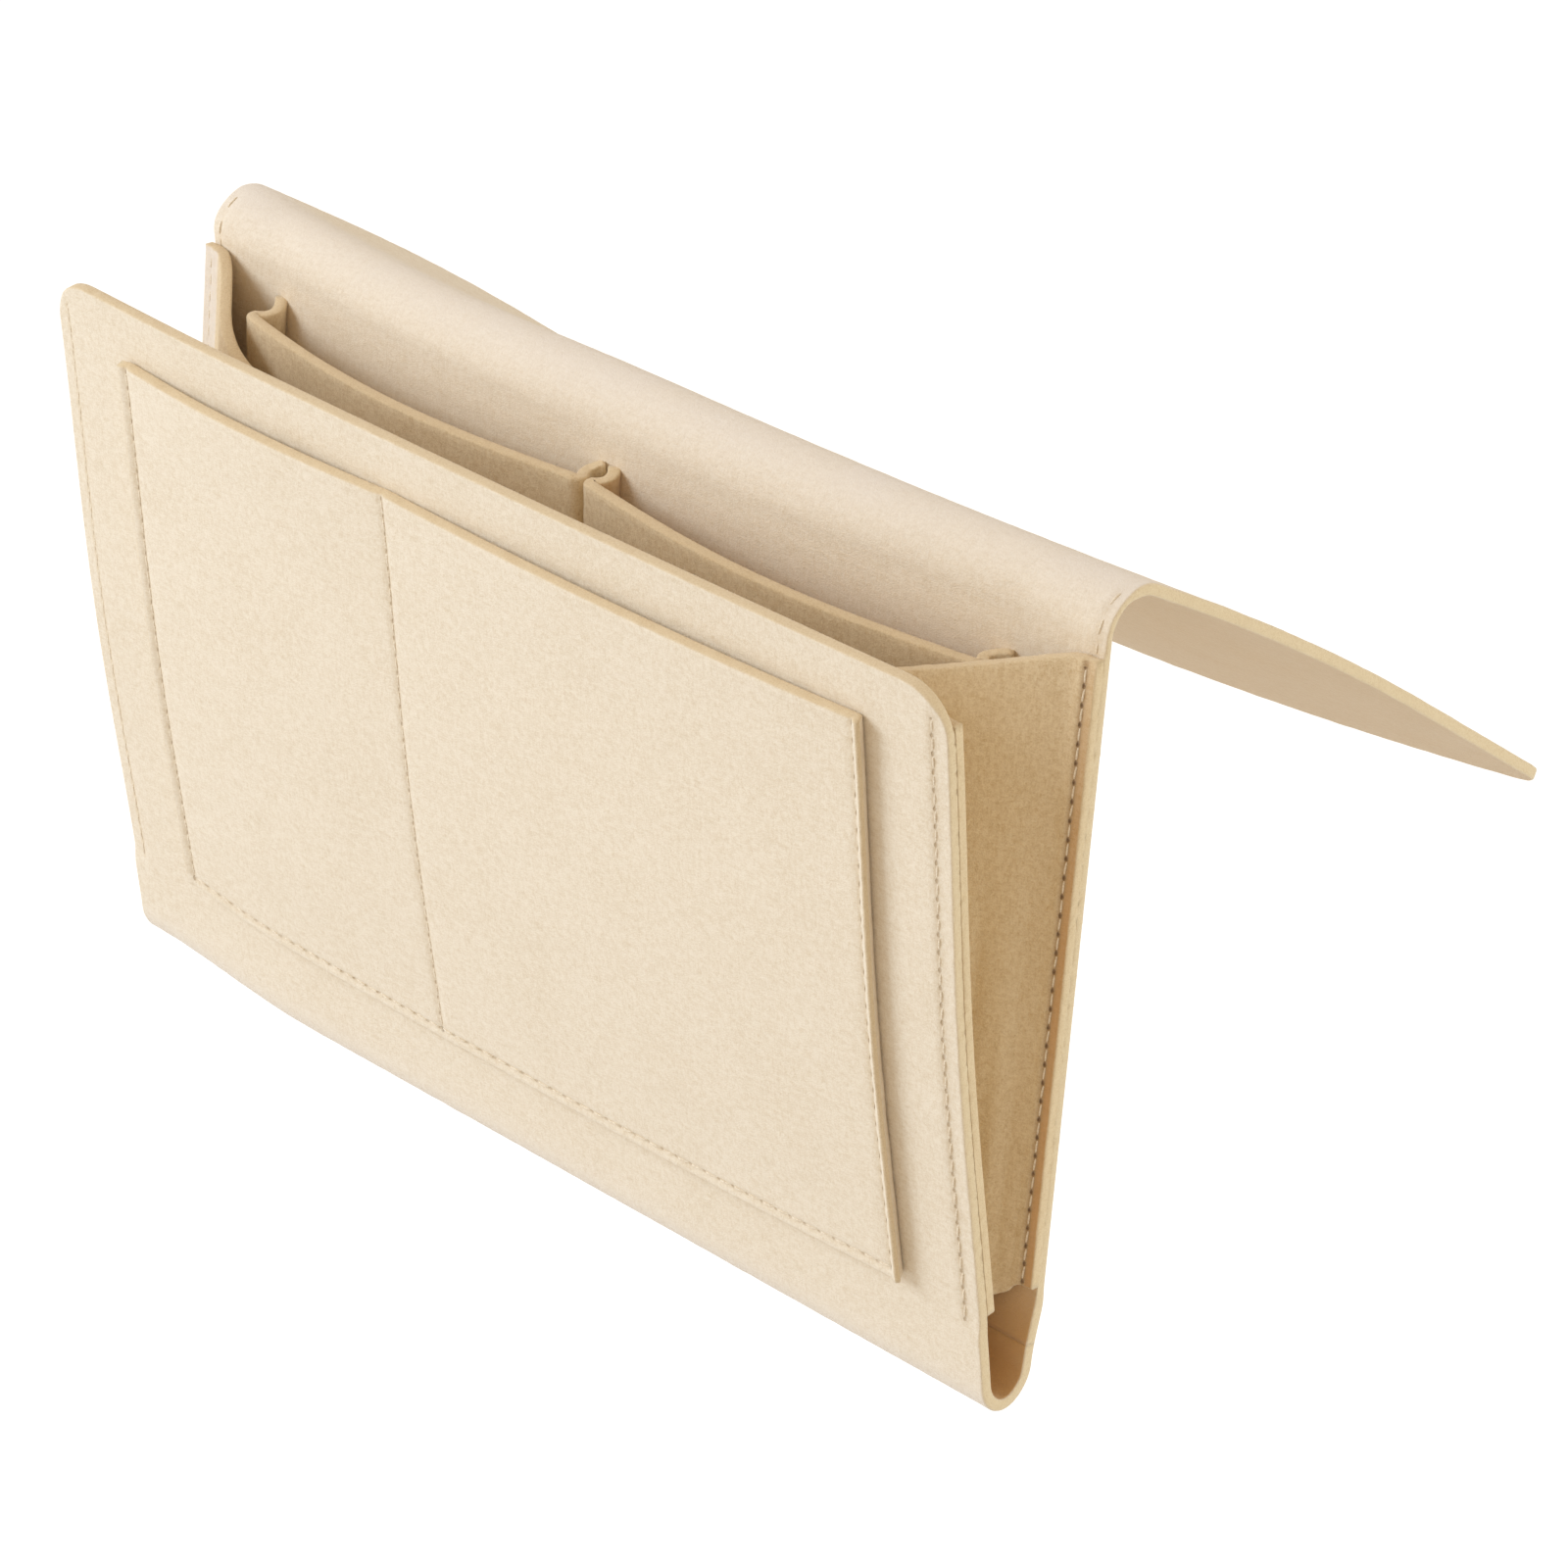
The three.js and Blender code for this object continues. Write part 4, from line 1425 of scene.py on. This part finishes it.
@dataclass
class Gusset:
    """Felt strip that closes one end of the bag and folds inward."""

    shell: Shell
    side: Side
    bottom: float = 23.6 * MM
    rear_drop: float = 4.4 * MM  # how far its top is below the back panel's
    front_drop: float = 2.7 * MM
    flange: float = 5 * MM
    proud: float = 0.2 * MM
    web_angle: float = 60.9
    slope: float = 16.0  # of the rear web's edges
    fold_soft: float = 1.3 * MM  # half width of the fold between flange and web
    crease_radius: float = 0.3 * MM
    ease: float = 2.95 * MM  # cut off the crease at the bottom, where it would bind first
    ease_top: float = 167 * MM  # height at which the whole crease is closed
    rear_bow: float = 1.0 * MM  # how far the rear half curves into the valley
    front_bow: float = 0.6 * MM  # and the front half
    wrinkle: float = 0.9 * MM  # height of the upright waves in the web's lower half
    wrinkle_wave: float = 7.5 * MM  # their typical wavelength
    wrinkle_top: float = 150 * MM  # they fade towards this height
    strip_shade: float = 0.75  # how much painted shade the rear flange takes beyond its seam
    paled: float = 0.0  # how pale the rear flange is painted, as painted highlight
    foot_sag: float = 4.2 * MM  # how much lower the web is at its foot
    foot_reach: float = 40 * MM  # over this height
    groove_half: float = 0.8 * MM

    @property
    def fold_x(self) -> float:
        """Where the web leaves the flange."""
        return self.shell.width / 2 + self.proud - self.flange - self.shell.felt.gap - self.shell.felt.half

    def top(self, panel: Panel) -> float:
        """Height of a half's top edge at its flange."""
        return self.shell.back_height - (self.rear_drop if panel is Panel.REAR else self.front_drop)

    def fall(self, panel: Panel) -> float:
        """How steeply a half's edges fall inward, so that both halves end at one height."""
        rear = math.tan(math.radians(self.slope))
        return rear if panel is Panel.REAR else rear + (self.rear_drop - self.front_drop) / (50 * MM)

    def reach(self, height: Array) -> Array:
        """Length of the web from its fold to the plane midway between the panels.

        The web meets that plane where its length times the sine of its angle equals the
        layer's depth plus the height there times the tangent of half the lean.

        Args:
            height: height at the fold.

        Returns:
            The length at each height.
        """
        tilt = math.tan(math.radians(self.shell.lean / 2))
        sine = math.cos(math.radians(self.web_angle))
        fall = math.tan(math.radians(self.slope))
        return (self.shell.layer + tilt * height) / (sine + fall * tilt)

    def course(self, panel: Panel) -> tuple[Array, Array, Array, Array]:
        """One half as it lies in its panel's own plane: flange, fold, web and half the crease.

        In plan the felt is straight on the flange, turns on a hyperbola into the web, and ends
        on a tight arc about the crease. Heights fall towards the crease, and a little more at
        the foot. The web bows by 0.85 of a sine's half wave over its length to the power 1.4, so
        that it bows most beyond its middle and its crease follows a little. The arc turns from
        square to the web until it points along the plane between the panels.

        Args:
            panel: the panel that the half is sewn to.

        Returns:
            Distance along the bag, depth in front of the fold's centre, height, and the share of
            the web that is passed, on the grid.
        """
        felt = self.shell.felt
        beta = math.radians(90 - self.web_angle)
        fall, top = self.fall(panel), self.top(panel)
        level = stations(self.bottom + felt.rim, top - felt.rim, 1.6 * MM)[:, None]
        mid_radius = self.crease_radius + felt.half
        crease_z = level - fall * self.reach(level)
        ease = self.ease * np.clip(1 - crease_z / self.ease_top, 0, 1)
        straight = self.reach(level) - mid_radius / math.tan(beta) - ease
        edge = self.fold_x - self.shell.width / 2 - self.proud + felt.rim
        sewn = np.linspace(edge, -2 * MM, 9)[None, :-1] + 0 * level
        over_web = np.linspace(0, 1, 31)[None, :]
        inward = np.concatenate([sewn, -2 * MM + (straight * math.cos(beta) + 2 * MM) * over_web], 1)
        along = np.maximum(inward, 0) / math.cos(beta)
        share = np.clip(along / straight, 0, 1)
        soft = (inward + np.sqrt(inward**2 + self.fold_soft**2)) / 2
        foot = self.foot_sag * smooth(1 - (level - self.bottom) / self.foot_reach)
        height = level - fall * along - foot * (0.7 * smooth((inward + 3 * MM) / (5 * MM)) + 0.3 * share)
        waves = unevenness(
            np.stack([inward, 0 * inward, height * 0.09], -1), self.wrinkle_wave, 5 + self.side.value,
        ) * self.wrinkle * np.sin(np.pi * share) * smooth(1.2 - height / self.wrinkle_top)
        bow = self.rear_bow if panel is Panel.REAR else self.front_bow
        curved = np.sin(0.85 * np.pi * share**1.4) ** 1.2 * np.clip(height / top, 0, 1) ** 1.5
        depth = self.shell.layer - math.tan(beta) * soft - bow * curved - waves
        turn = np.linspace(0, math.radians(self.web_angle), 9)[None, 1:]
        heading = np.pi / 2 + beta + turn
        arc_x = self.fold_x - inward[:, -1:] + mid_radius * (math.sin(beta) + np.cos(heading))
        arc_depth = depth[:, -1:] - mid_radius * (math.cos(beta) - np.sin(heading))
        arc_height = height[:, -1:] - fall * mid_radius * turn
        return (
            np.concatenate([self.fold_x - inward, arc_x], 1), np.concatenate([depth, arc_depth], 1),
            np.concatenate([height, arc_height], 1), np.concatenate([share, np.ones_like(arc_x)], 1),
        )

    def half_strip(self, panel: Panel) -> FeltSheet:
        """Flange and web of one half, up to the middle of the crease.

        Its flange follows its panel's hollow or bulge, and its web less and less of it.

        Args:
            panel: the panel that the half is sewn to.

        Returns:
            The sheet.
        """
        shell, felt, sign = self.shell, self.shell.felt, self.side.value
        x, depth, height, share = self.course(panel)
        at_seam = 0 * height + shell.seam_x
        if panel is Panel.REAR:
            seam_x, flip, strip_shade = shell.rear_seam_x, sign, self.strip_shade
            middle = np.stack([sign * x, depth - shell.hollow(at_seam, height) * (1 - share), height], -1)
        else:
            seam_x, flip, strip_shade = shell.seam_x, -sign, 0.0
            middle = shell.leaned(sign * x, depth + shell.bulge(at_seam, height) * (1 - share), height)
        low, high = self.seam_ends(panel)
        beyond_seam = x - seam_x
        groove = bell(beyond_seam, self.groove_half) * within(height, self.bottom, self.top(panel), 2 * MM)
        grids = {
            "middle": middle,
            "outside": felt.half - felt.sunk * groove - felt.pressed(beyond_seam),
            "inside": felt.half + 0 * x,
            "seam": groove,
            # Painted highlight on the rear flange, where the lamp lights it
            "wear_and_highlight": self.paled * smooth((x - self.fold_x) / (2 * MM) + 1),
            "stitch": Thread().phase(height, low, high),
            "off": Thread().offset(beyond_seam, height, low, high),
            "mated": smooth((beyond_seam + 3 * MM) / (2 * MM)),
        }
        # Painted shade on the rear flange beyond its seam, less higher up
        tan = strip_shade * smooth(beyond_seam / MM) * smooth(1.6 - height / (160 * MM))
        order = slice(None, None, -flip)
        free = (True, False, True, True) if flip < 0 else (True, True, True, False)
        return FeltSheet(
            name=f"{self.side.label}_{panel.value}_gusset", tan=(tan[:, order], 0.0), free=free, stock=felt,
            **{name: grid[:, order] for name, grid in grids.items()},
        )

    def seam_ends(self, panel: Panel) -> tuple[float, float]:
        """Heights at which the seam of a half's flange starts and ends."""
        low = self.shell.seam_low + 3 * MM if panel is Panel.REAR else self.bottom + 1.5 * MM
        return low, self.top(panel) - 2 * MM

    def make(self) -> None:
        """Builds both halves and the thread on the rear flange."""
        for panel, body in ((Panel.REAR, "back"), (Panel.FRONT, "front")):
            label = f"{self.side.label}_{panel.value}"
            sheet = self.half_strip(panel)
            # The darker felt is painted shade on the gusset strips
            piece = sheet.build(SHADED_FELT)
            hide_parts(f"{label}_flange", f"{label}_web")
            start, stop = (
                tuple(ORIGIN + (self.side.value * (self.fold_x + shift), 0, 0))
                for shift in (2.2 * MM, -2.2 * MM)
            )
            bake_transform(piece)
            top = self.top(panel)
            span = float(self.reach(np.array([(self.bottom + top) / 2]))[0]) + self.flange
            top - self.bottom
        self.make_thread()

    def make_thread(self) -> None:
        """Stitches of the side seams: on both flanges, on the back panel's rear and over its bend."""
        shell, felt, thread = self.shell, self.shell.felt, Thread()
        x_rear, x_front = self.side.value * shell.rear_seam_x, self.side.value * shell.seam_x
        flange_face = shell.layer - felt.at_seam()

        def rear_flange(height: Array, lift: float) -> Array:
            """Points over the rear flange's face."""
            x = 0 * height + x_rear
            return np.stack([x, flange_face - shell.hollow(x, height) - lift, height], -1)

        def front_flange(height: Array, lift: float) -> Array:
            """Points over the front flange's face."""
            x = 0 * height + x_front
            return shell.leaned(x, flange_face + shell.bulge(x, height) - lift, height)

        def rear_face(height: Array, lift: float) -> Array:
            """Points over the back panel's rear face."""
            x = 0 * height + x_rear
            return shell.back(x, height, felt.at_seam() + lift)

        def over_bend(height: Array, lift: float) -> Array:
            """Points over the face of the back panel and the bend, above the gusset.

            Args:
                height: length of felt up from the fold.
                lift: height over the face.

            Returns:
                The places, with x, y and z last.
            """
            x = 0 * height + x_rear
            out = 0.35 * MM - felt.half - lift
            back, bend = shell.back(x, height, out), shell.top(x, height - shell.back_height, out)
            return np.where((height < shell.back_height)[..., None], back, bend)

        low, high = self.seam_ends(Panel.REAR)
        rows = [
            thread.row(rear_flange, low, high), thread.row(rear_face, low, high),
            thread.row(over_bend, high + 1.5 * MM, shell.back_height - 0.5 * MM),
        ]
        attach(thread.sew(f"{self.side.label}_rear_thread", rows), "back")
        row = thread.row(front_flange, *self.seam_ends(Panel.FRONT))
        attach(thread.sew(f"{self.side.label}_front_flange_thread", [row]), "front")
        bend = thread.sew(f"{self.side.label}_bend_thread", [
            thread.row(over_bend, shell.back_height - 0.5 * MM, shell.rear_seam_high),
        ])
        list(shell.bend_ends())
        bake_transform(bend)


@dataclass
class InnerPocket:
    """One half of the pleated sheet inside the back panel, which makes one pocket."""

    shell: Shell
    side: Side
    fold_x: float = 138 * MM  # outer end of its wall
    foot_x: float = 141 * MM  # where the outer pleat meets the back panel
    inner_foot: float = 2.0 * MM  # and the inner pleat, from the middle of the bag
    fold_radius: float = 2.35 * MM  # of its folds at the mouth
    outer_bow: float = 3.2 * MM  # how far the outer pleat bows inward half way
    pleat_bow: float = 2.0 * MM  # how far the inner pleats bow apart half way
    pleat_thin: float = 0.5 * MM  # how much thinner each face of a pleat is half way
    ear: float = 2.0 * MM  # how far the pleats' corners at the panel stand up
    droop: float = 4.5 * MM  # how far its outer end hangs lower
    tan: float = 0.4  # how much painted shade its wall takes
    drop: float = 10 * MM
    seam: float = 28 * MM
    hem: float = 6 * MM
    end_reach: float = 7.5 * MM
    middle_reach: float = 8.6 * MM
    bulge: float = 6.8 * MM

    @property
    def top(self) -> float:
        """Height of its mouth."""
        return self.shell.back_height - self.drop

    def course(self, level: Array) -> tuple[Array, Array, Array, Array]:
        """The half sheet in plan at each level, its depth measured from the flanges' layer.

        It runs from the back panel along the outer pleat, round a fold, along the wall, round the
        inner fold and back along the inner pleat. Depths grow with the share of the height over
        the seam. The pleats are straight lines plus a bow times a parabola, the folds are quarter
        turns, and the wall is a straight line plus the bulge times a sine.

        Args:
            level: heights, one in each row.

        Returns:
            Distance from the middle of the bag, depth, half the felt's thickness, and how near
            each point is to its pleat's end at the panel, on the grid.
        """
        half = self.shell.felt.half
        share = np.clip((level - self.seam) / (self.top - self.seam), 0, 1)
        radius = (self.fold_radius - 0.4 * MM) * smooth(share * 3) + 0.4 * MM
        inner_x = half + 0.15 * MM + 0 * level
        foot = 1.5 * MM * smooth(share * 4) + 0.2 * MM
        end_reach, middle_reach = self.end_reach * share, self.middle_reach * share
        t = np.linspace(0, 1, 15)[None, :]
        bowed = 4 * t * (1 - t)
        outer_foot = self.fold_x + (self.foot_x - self.fold_x) * share
        outer_x = outer_foot + (self.fold_x - outer_foot) * t - self.outer_bow * share * bowed
        outer_depth = foot + (radius - foot - end_reach) * t
        turn = np.linspace(0, np.pi / 2, 8)[None, 1:-1]
        fold_out_x = self.fold_x - radius * (1 - np.cos(turn))
        fold_out_depth = radius - end_reach - radius * np.sin(turn)
        u = np.linspace(0, 1, 62)[None, :]
        wall_x = (self.fold_x - radius) + (inner_x + 2 * radius - self.fold_x) * u
        wall_depth = -(end_reach + (middle_reach - end_reach) * u) - self.bulge * share * np.sin(np.pi * u)
        fold_in_x = inner_x + radius * (1 - np.cos(turn[:, ::-1]))
        fold_in_depth = radius - middle_reach - radius * np.sin(turn[:, ::-1])
        back_x = inner_x + (self.inner_foot - inner_x) * share * t + self.pleat_bow * share * bowed
        back_depth = (radius - middle_reach) + (foot - radius + middle_reach) * t
        pleat = radius - self.pleat_thin * bowed * share
        turned = radius + 0 * turn
        thin = np.concatenate([pleat, turned, half + 0 * wall_x, turned, pleat], 1)
        return (
            np.concatenate([outer_x, fold_out_x, wall_x, fold_in_x, back_x], 1),
            np.concatenate([outer_depth, fold_out_depth, wall_depth, fold_in_depth, back_depth], 1),
            np.minimum(half, thin),
            np.concatenate([(1 - t) ** 2, 0 * turn, 0 * u, 0 * turn, t**2], 1),
        )

    def sheet(self) -> FeltSheet:
        """The pleated sheet of this half, on the hollow back panel.

        Its pleats' corners stand up by the cube of the share of the height, and its outer end
        hangs lower by the distance from the middle to the power 1.6.

        Returns:
            The sheet.
        """
        shell, felt = self.shell, self.shell.felt
        level = stations(self.seam - self.hem + felt.rim, self.top - felt.rim, 2.0 * MM)[:, None]
        x, depth, thin, ends = self.course(level)
        share = np.clip((level - self.seam) / (self.top - self.seam), 0, 1)
        height = level + self.ear * share**3 * ends - self.droop * share * (np.abs(x) / self.fold_x) ** 1.6
        middle = np.stack([self.side.value * x, shell.layer - shell.hollow(x, height) + depth, height], -1)
        near_seam = bell(height - self.seam, 1.0 * MM)
        swell = felt.swell * smooth(1 - (self.top - level) / (4 * MM))
        face = thin + swell - 0.5 * MM * near_seam * (thin > felt.half - 0.1 * MM)
        order = slice(None, None, self.side.value)
        return FeltSheet(
            name=f"{self.side.label}_inner_pocket",
            middle=middle[:, order],
            outside=face[:, order],
            inside=thin[:, order],
            seam=near_seam[:, order],
            wear_and_highlight=0 * face,
            # Painted shade on the pocket's wall
            tan=(self.tan, 0.0),
            stock=felt,
        )

    def make(self) -> None:
        """Builds the half sheet and its bottom stitches."""
        label = self.side.label
        # The darker felt is painted shade on the pocket's walls
        piece = self.sheet().build(SHADED_FELT)
        nodes = [f"{label}_pocket_wall", f"{label}_outer_pleat", f"{label}_inner_pleat"]
        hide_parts(*nodes, *(["pocket_hem"] if self.side is Side.RIGHT else []))
        wedge = self.end_reach / (self.top - self.seam) / 2
        square = np.array([0, -1, -wedge]) * 2.5 * MM
        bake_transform(piece)
        width = self.fold_x + self.end_reach + self.middle_reach
        self.top - self.seam + self.hem
        self.make_thread()

    def make_thread(self) -> None:
        """Stitches of this half's bottom seam and outer seam, on the back panel's rear face."""
        shell, side = self.shell, self.side.value

        def upright(height: Array, lift: float) -> Array:
            """Points over the outer seam."""
            return shell.back(side * self.foot_x + 0 * height, height, shell.felt.half + lift)

        def level(x: Array, lift: float) -> Array:
            """Points over the bottom seam."""
            return shell.back(side * x, self.seam + 0 * x, shell.felt.half + lift)

        thread = Thread()
        rows = [
            thread.row(upright, self.seam + 3 * MM, self.top - 2 * MM),
            thread.row(level, 2 * MM, self.foot_x),
        ]
        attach(thread.sew(f"{self.side.label}_pocket_thread", rows), "back")


def aimed(right: Triple, up: Triple, back: Triple, place: Triple) -> Matrix:
    """Place and turn of a lamp or camera that looks away from its back."""
    return Matrix([*np.column_stack([right, up, back, place]).tolist(), [0, 0, 0, 1]])


@dataclass(frozen=True)
class Lamp:
    """A square soft lamp that faces the bag."""

    name: str
    place: Triple
    power: float
    colour: Colour
    size: float = 1.6

    def hang(self) -> None:
        """Hangs the lamp, level and turned towards the origin."""
        data = bpy.data.lights.new(self.name, "AREA")
        data.shape, data.size, data.energy, data.color = "SQUARE", self.size, self.power, self.colour
        lamp = bpy.data.objects.new(self.name, data)
        back = np.array(self.place) / np.linalg.norm(self.place)
        right = np.cross((0, 0, 1), back)
        right /= np.linalg.norm(right)
        lamp.matrix_world = aimed(right, np.cross(back, right), back, self.place)
        bpy.context.scene.collection.objects.link(lamp)


@dataclass
class Studio:
    """White floor, soft light and the camera at the photograph's viewing angle."""

    floor_z: float = -0.75
    floor_half: float = 12.0
    key: Lamp = Lamp("key", (-1.65, -2.2, 1.2), 58.0, (0.75, 0.86, 1.0))
    fill: Lamp = Lamp("fill", (2.45, 1.15, 0.3), 32.0, (0.78, 0.93, 1.0))
    sky_light: float = 0.67
    sky_colour: Colour = (1.0, 0.84, 0.675)
    camera_right: Triple = (0.69030, 0.72102, 0.06026)
    camera_up: Triple = (-0.35738, 0.26737, 0.89492)
    camera_back: Triple = (0.62909, -0.63925, 0.44219)
    camera_place: Triple = (1.14693, -1.16809, 0.88992)  # from the middle of the bottom fold
    sensor: float = 36.0  # sensor width and focal length, mm
    lens: float = 152.153
    shift: tuple[float, float] = (0.13200, 0.04950)  # the part of its picture that is shown

    def floor(self) -> None:
        """Lays the floor."""
        half = self.floor_half
        points = np.array([[-half, -half, 0], [half, -half, 0], [half, half, 0], [-half, half, 0]])
        points[:, 2] = self.floor_z
        mesh = bpy.data.meshes.new("floor")
        mesh.from_pydata(points, [], [(0, 1, 2, 3)])
        mesh.materials.append(FloorFinish().material())
        floor = bpy.data.objects.new("floor", mesh)
        bpy.context.scene.collection.objects.link(floor)

    def sky(self) -> None:
        """Surrounds the bag with even light, white to the camera and in reflections."""
        world = bpy.data.worlds.new("studio")
        bpy.context.scene.world = world
        world.use_nodes = True
        nodes, links = world.node_tree.nodes, world.node_tree.links
        nodes.clear()
        path = nodes.new("ShaderNodeLightPath")
        soft, white = nodes.new("ShaderNodeBackground"), nodes.new("ShaderNodeBackground")
        soft.inputs[0].default_value = rgba(self.sky_colour)
        soft.inputs[1].default_value = self.sky_light
        white.inputs[0].default_value = (1.0, 1.0, 1.0, 1.0)
        mixed, out = nodes.new("ShaderNodeMixShader"), nodes.new("ShaderNodeOutputWorld")
        seen = path.outputs["Is Camera Ray"]
        for ray in ("Is Glossy Ray", "Is Transmission Ray"):
            either = nodes.new("ShaderNodeMath")
            either.operation = "MAXIMUM"
            links.new(seen, either.inputs[0])
            links.new(path.outputs[ray], either.inputs[1])
            seen = either.outputs[0]
        links.new(seen, mixed.inputs[0])
        links.new(soft.outputs[0], mixed.inputs[1])
        links.new(white.outputs[0], mixed.inputs[2])
        links.new(mixed.outputs[0], out.inputs[0])

    def camera(self) -> None:
        """Sets the camera by its place, its axes, and the part of its picture that is shown."""
        data = bpy.data.cameras.new("camera")
        data.sensor_width, data.lens = self.sensor, self.lens
        data.shift_x, data.shift_y = self.shift
        data.clip_start, data.clip_end = 0.05, 100.0
        camera = bpy.data.objects.new("camera", data)
        place = ORIGIN + self.camera_place
        camera.matrix_world = aimed(self.camera_right, self.camera_up, self.camera_back, place)
        bpy.context.scene.collection.objects.link(camera)
        bpy.context.scene.camera = camera

    def make(self) -> None:
        """Sets up the whole studio."""
        bpy.context.scene.view_settings.view_transform = "Standard"
        self.camera()
        self.floor()
        self.sky()
        self.key.hang()
        self.fill.hang()


def panel_origin() -> Array:
    """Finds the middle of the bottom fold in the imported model, from where its back panel lies.

    Returns:
        Its place, which every mesh of this file is moved by.
    """
    low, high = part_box("back_panel")
    shell = Shell()
    return np.array([0.0, high[1] - shell.base_radius - shell.felt.thickness, low[2] - shell.felt.gap])


ORIGIN = panel_origin()


# What the left end has of its own, where the classes give the right end
LEFT_GUSSET = {
    "rear_drop": 1.7 * MM, "slope": 20.5, "rear_bow": 6.8 * MM, "front_bow": -6.8 * MM,
    # The left rear flange is paled as painted highlight
    "strip_shade": 0.0, "paled": 0.9,
}
LEFT_POCKET = {
    "fold_x": 140 * MM, "end_reach": 10.9 * MM, "bulge": 5.2 * MM, "droop": 0.5 * MM, "tan": 0.0,
}


def main() -> None:
    """Builds the studio and the bag's sub-assemblies."""
    logging.basicConfig(level=logging.INFO, format="%(name)s: %(message)s")
    Studio().make()
    shell = Shell()
    shell.make()
    Patch(shell).make()
    for side, gusset, pocket in ((Side.LEFT, LEFT_GUSSET, LEFT_POCKET), (Side.RIGHT, {}, {})):
        Gusset(shell, side, **gusset).make()
        InnerPocket(shell, side, **pocket).make()


if __name__ == "__main__":
    main()
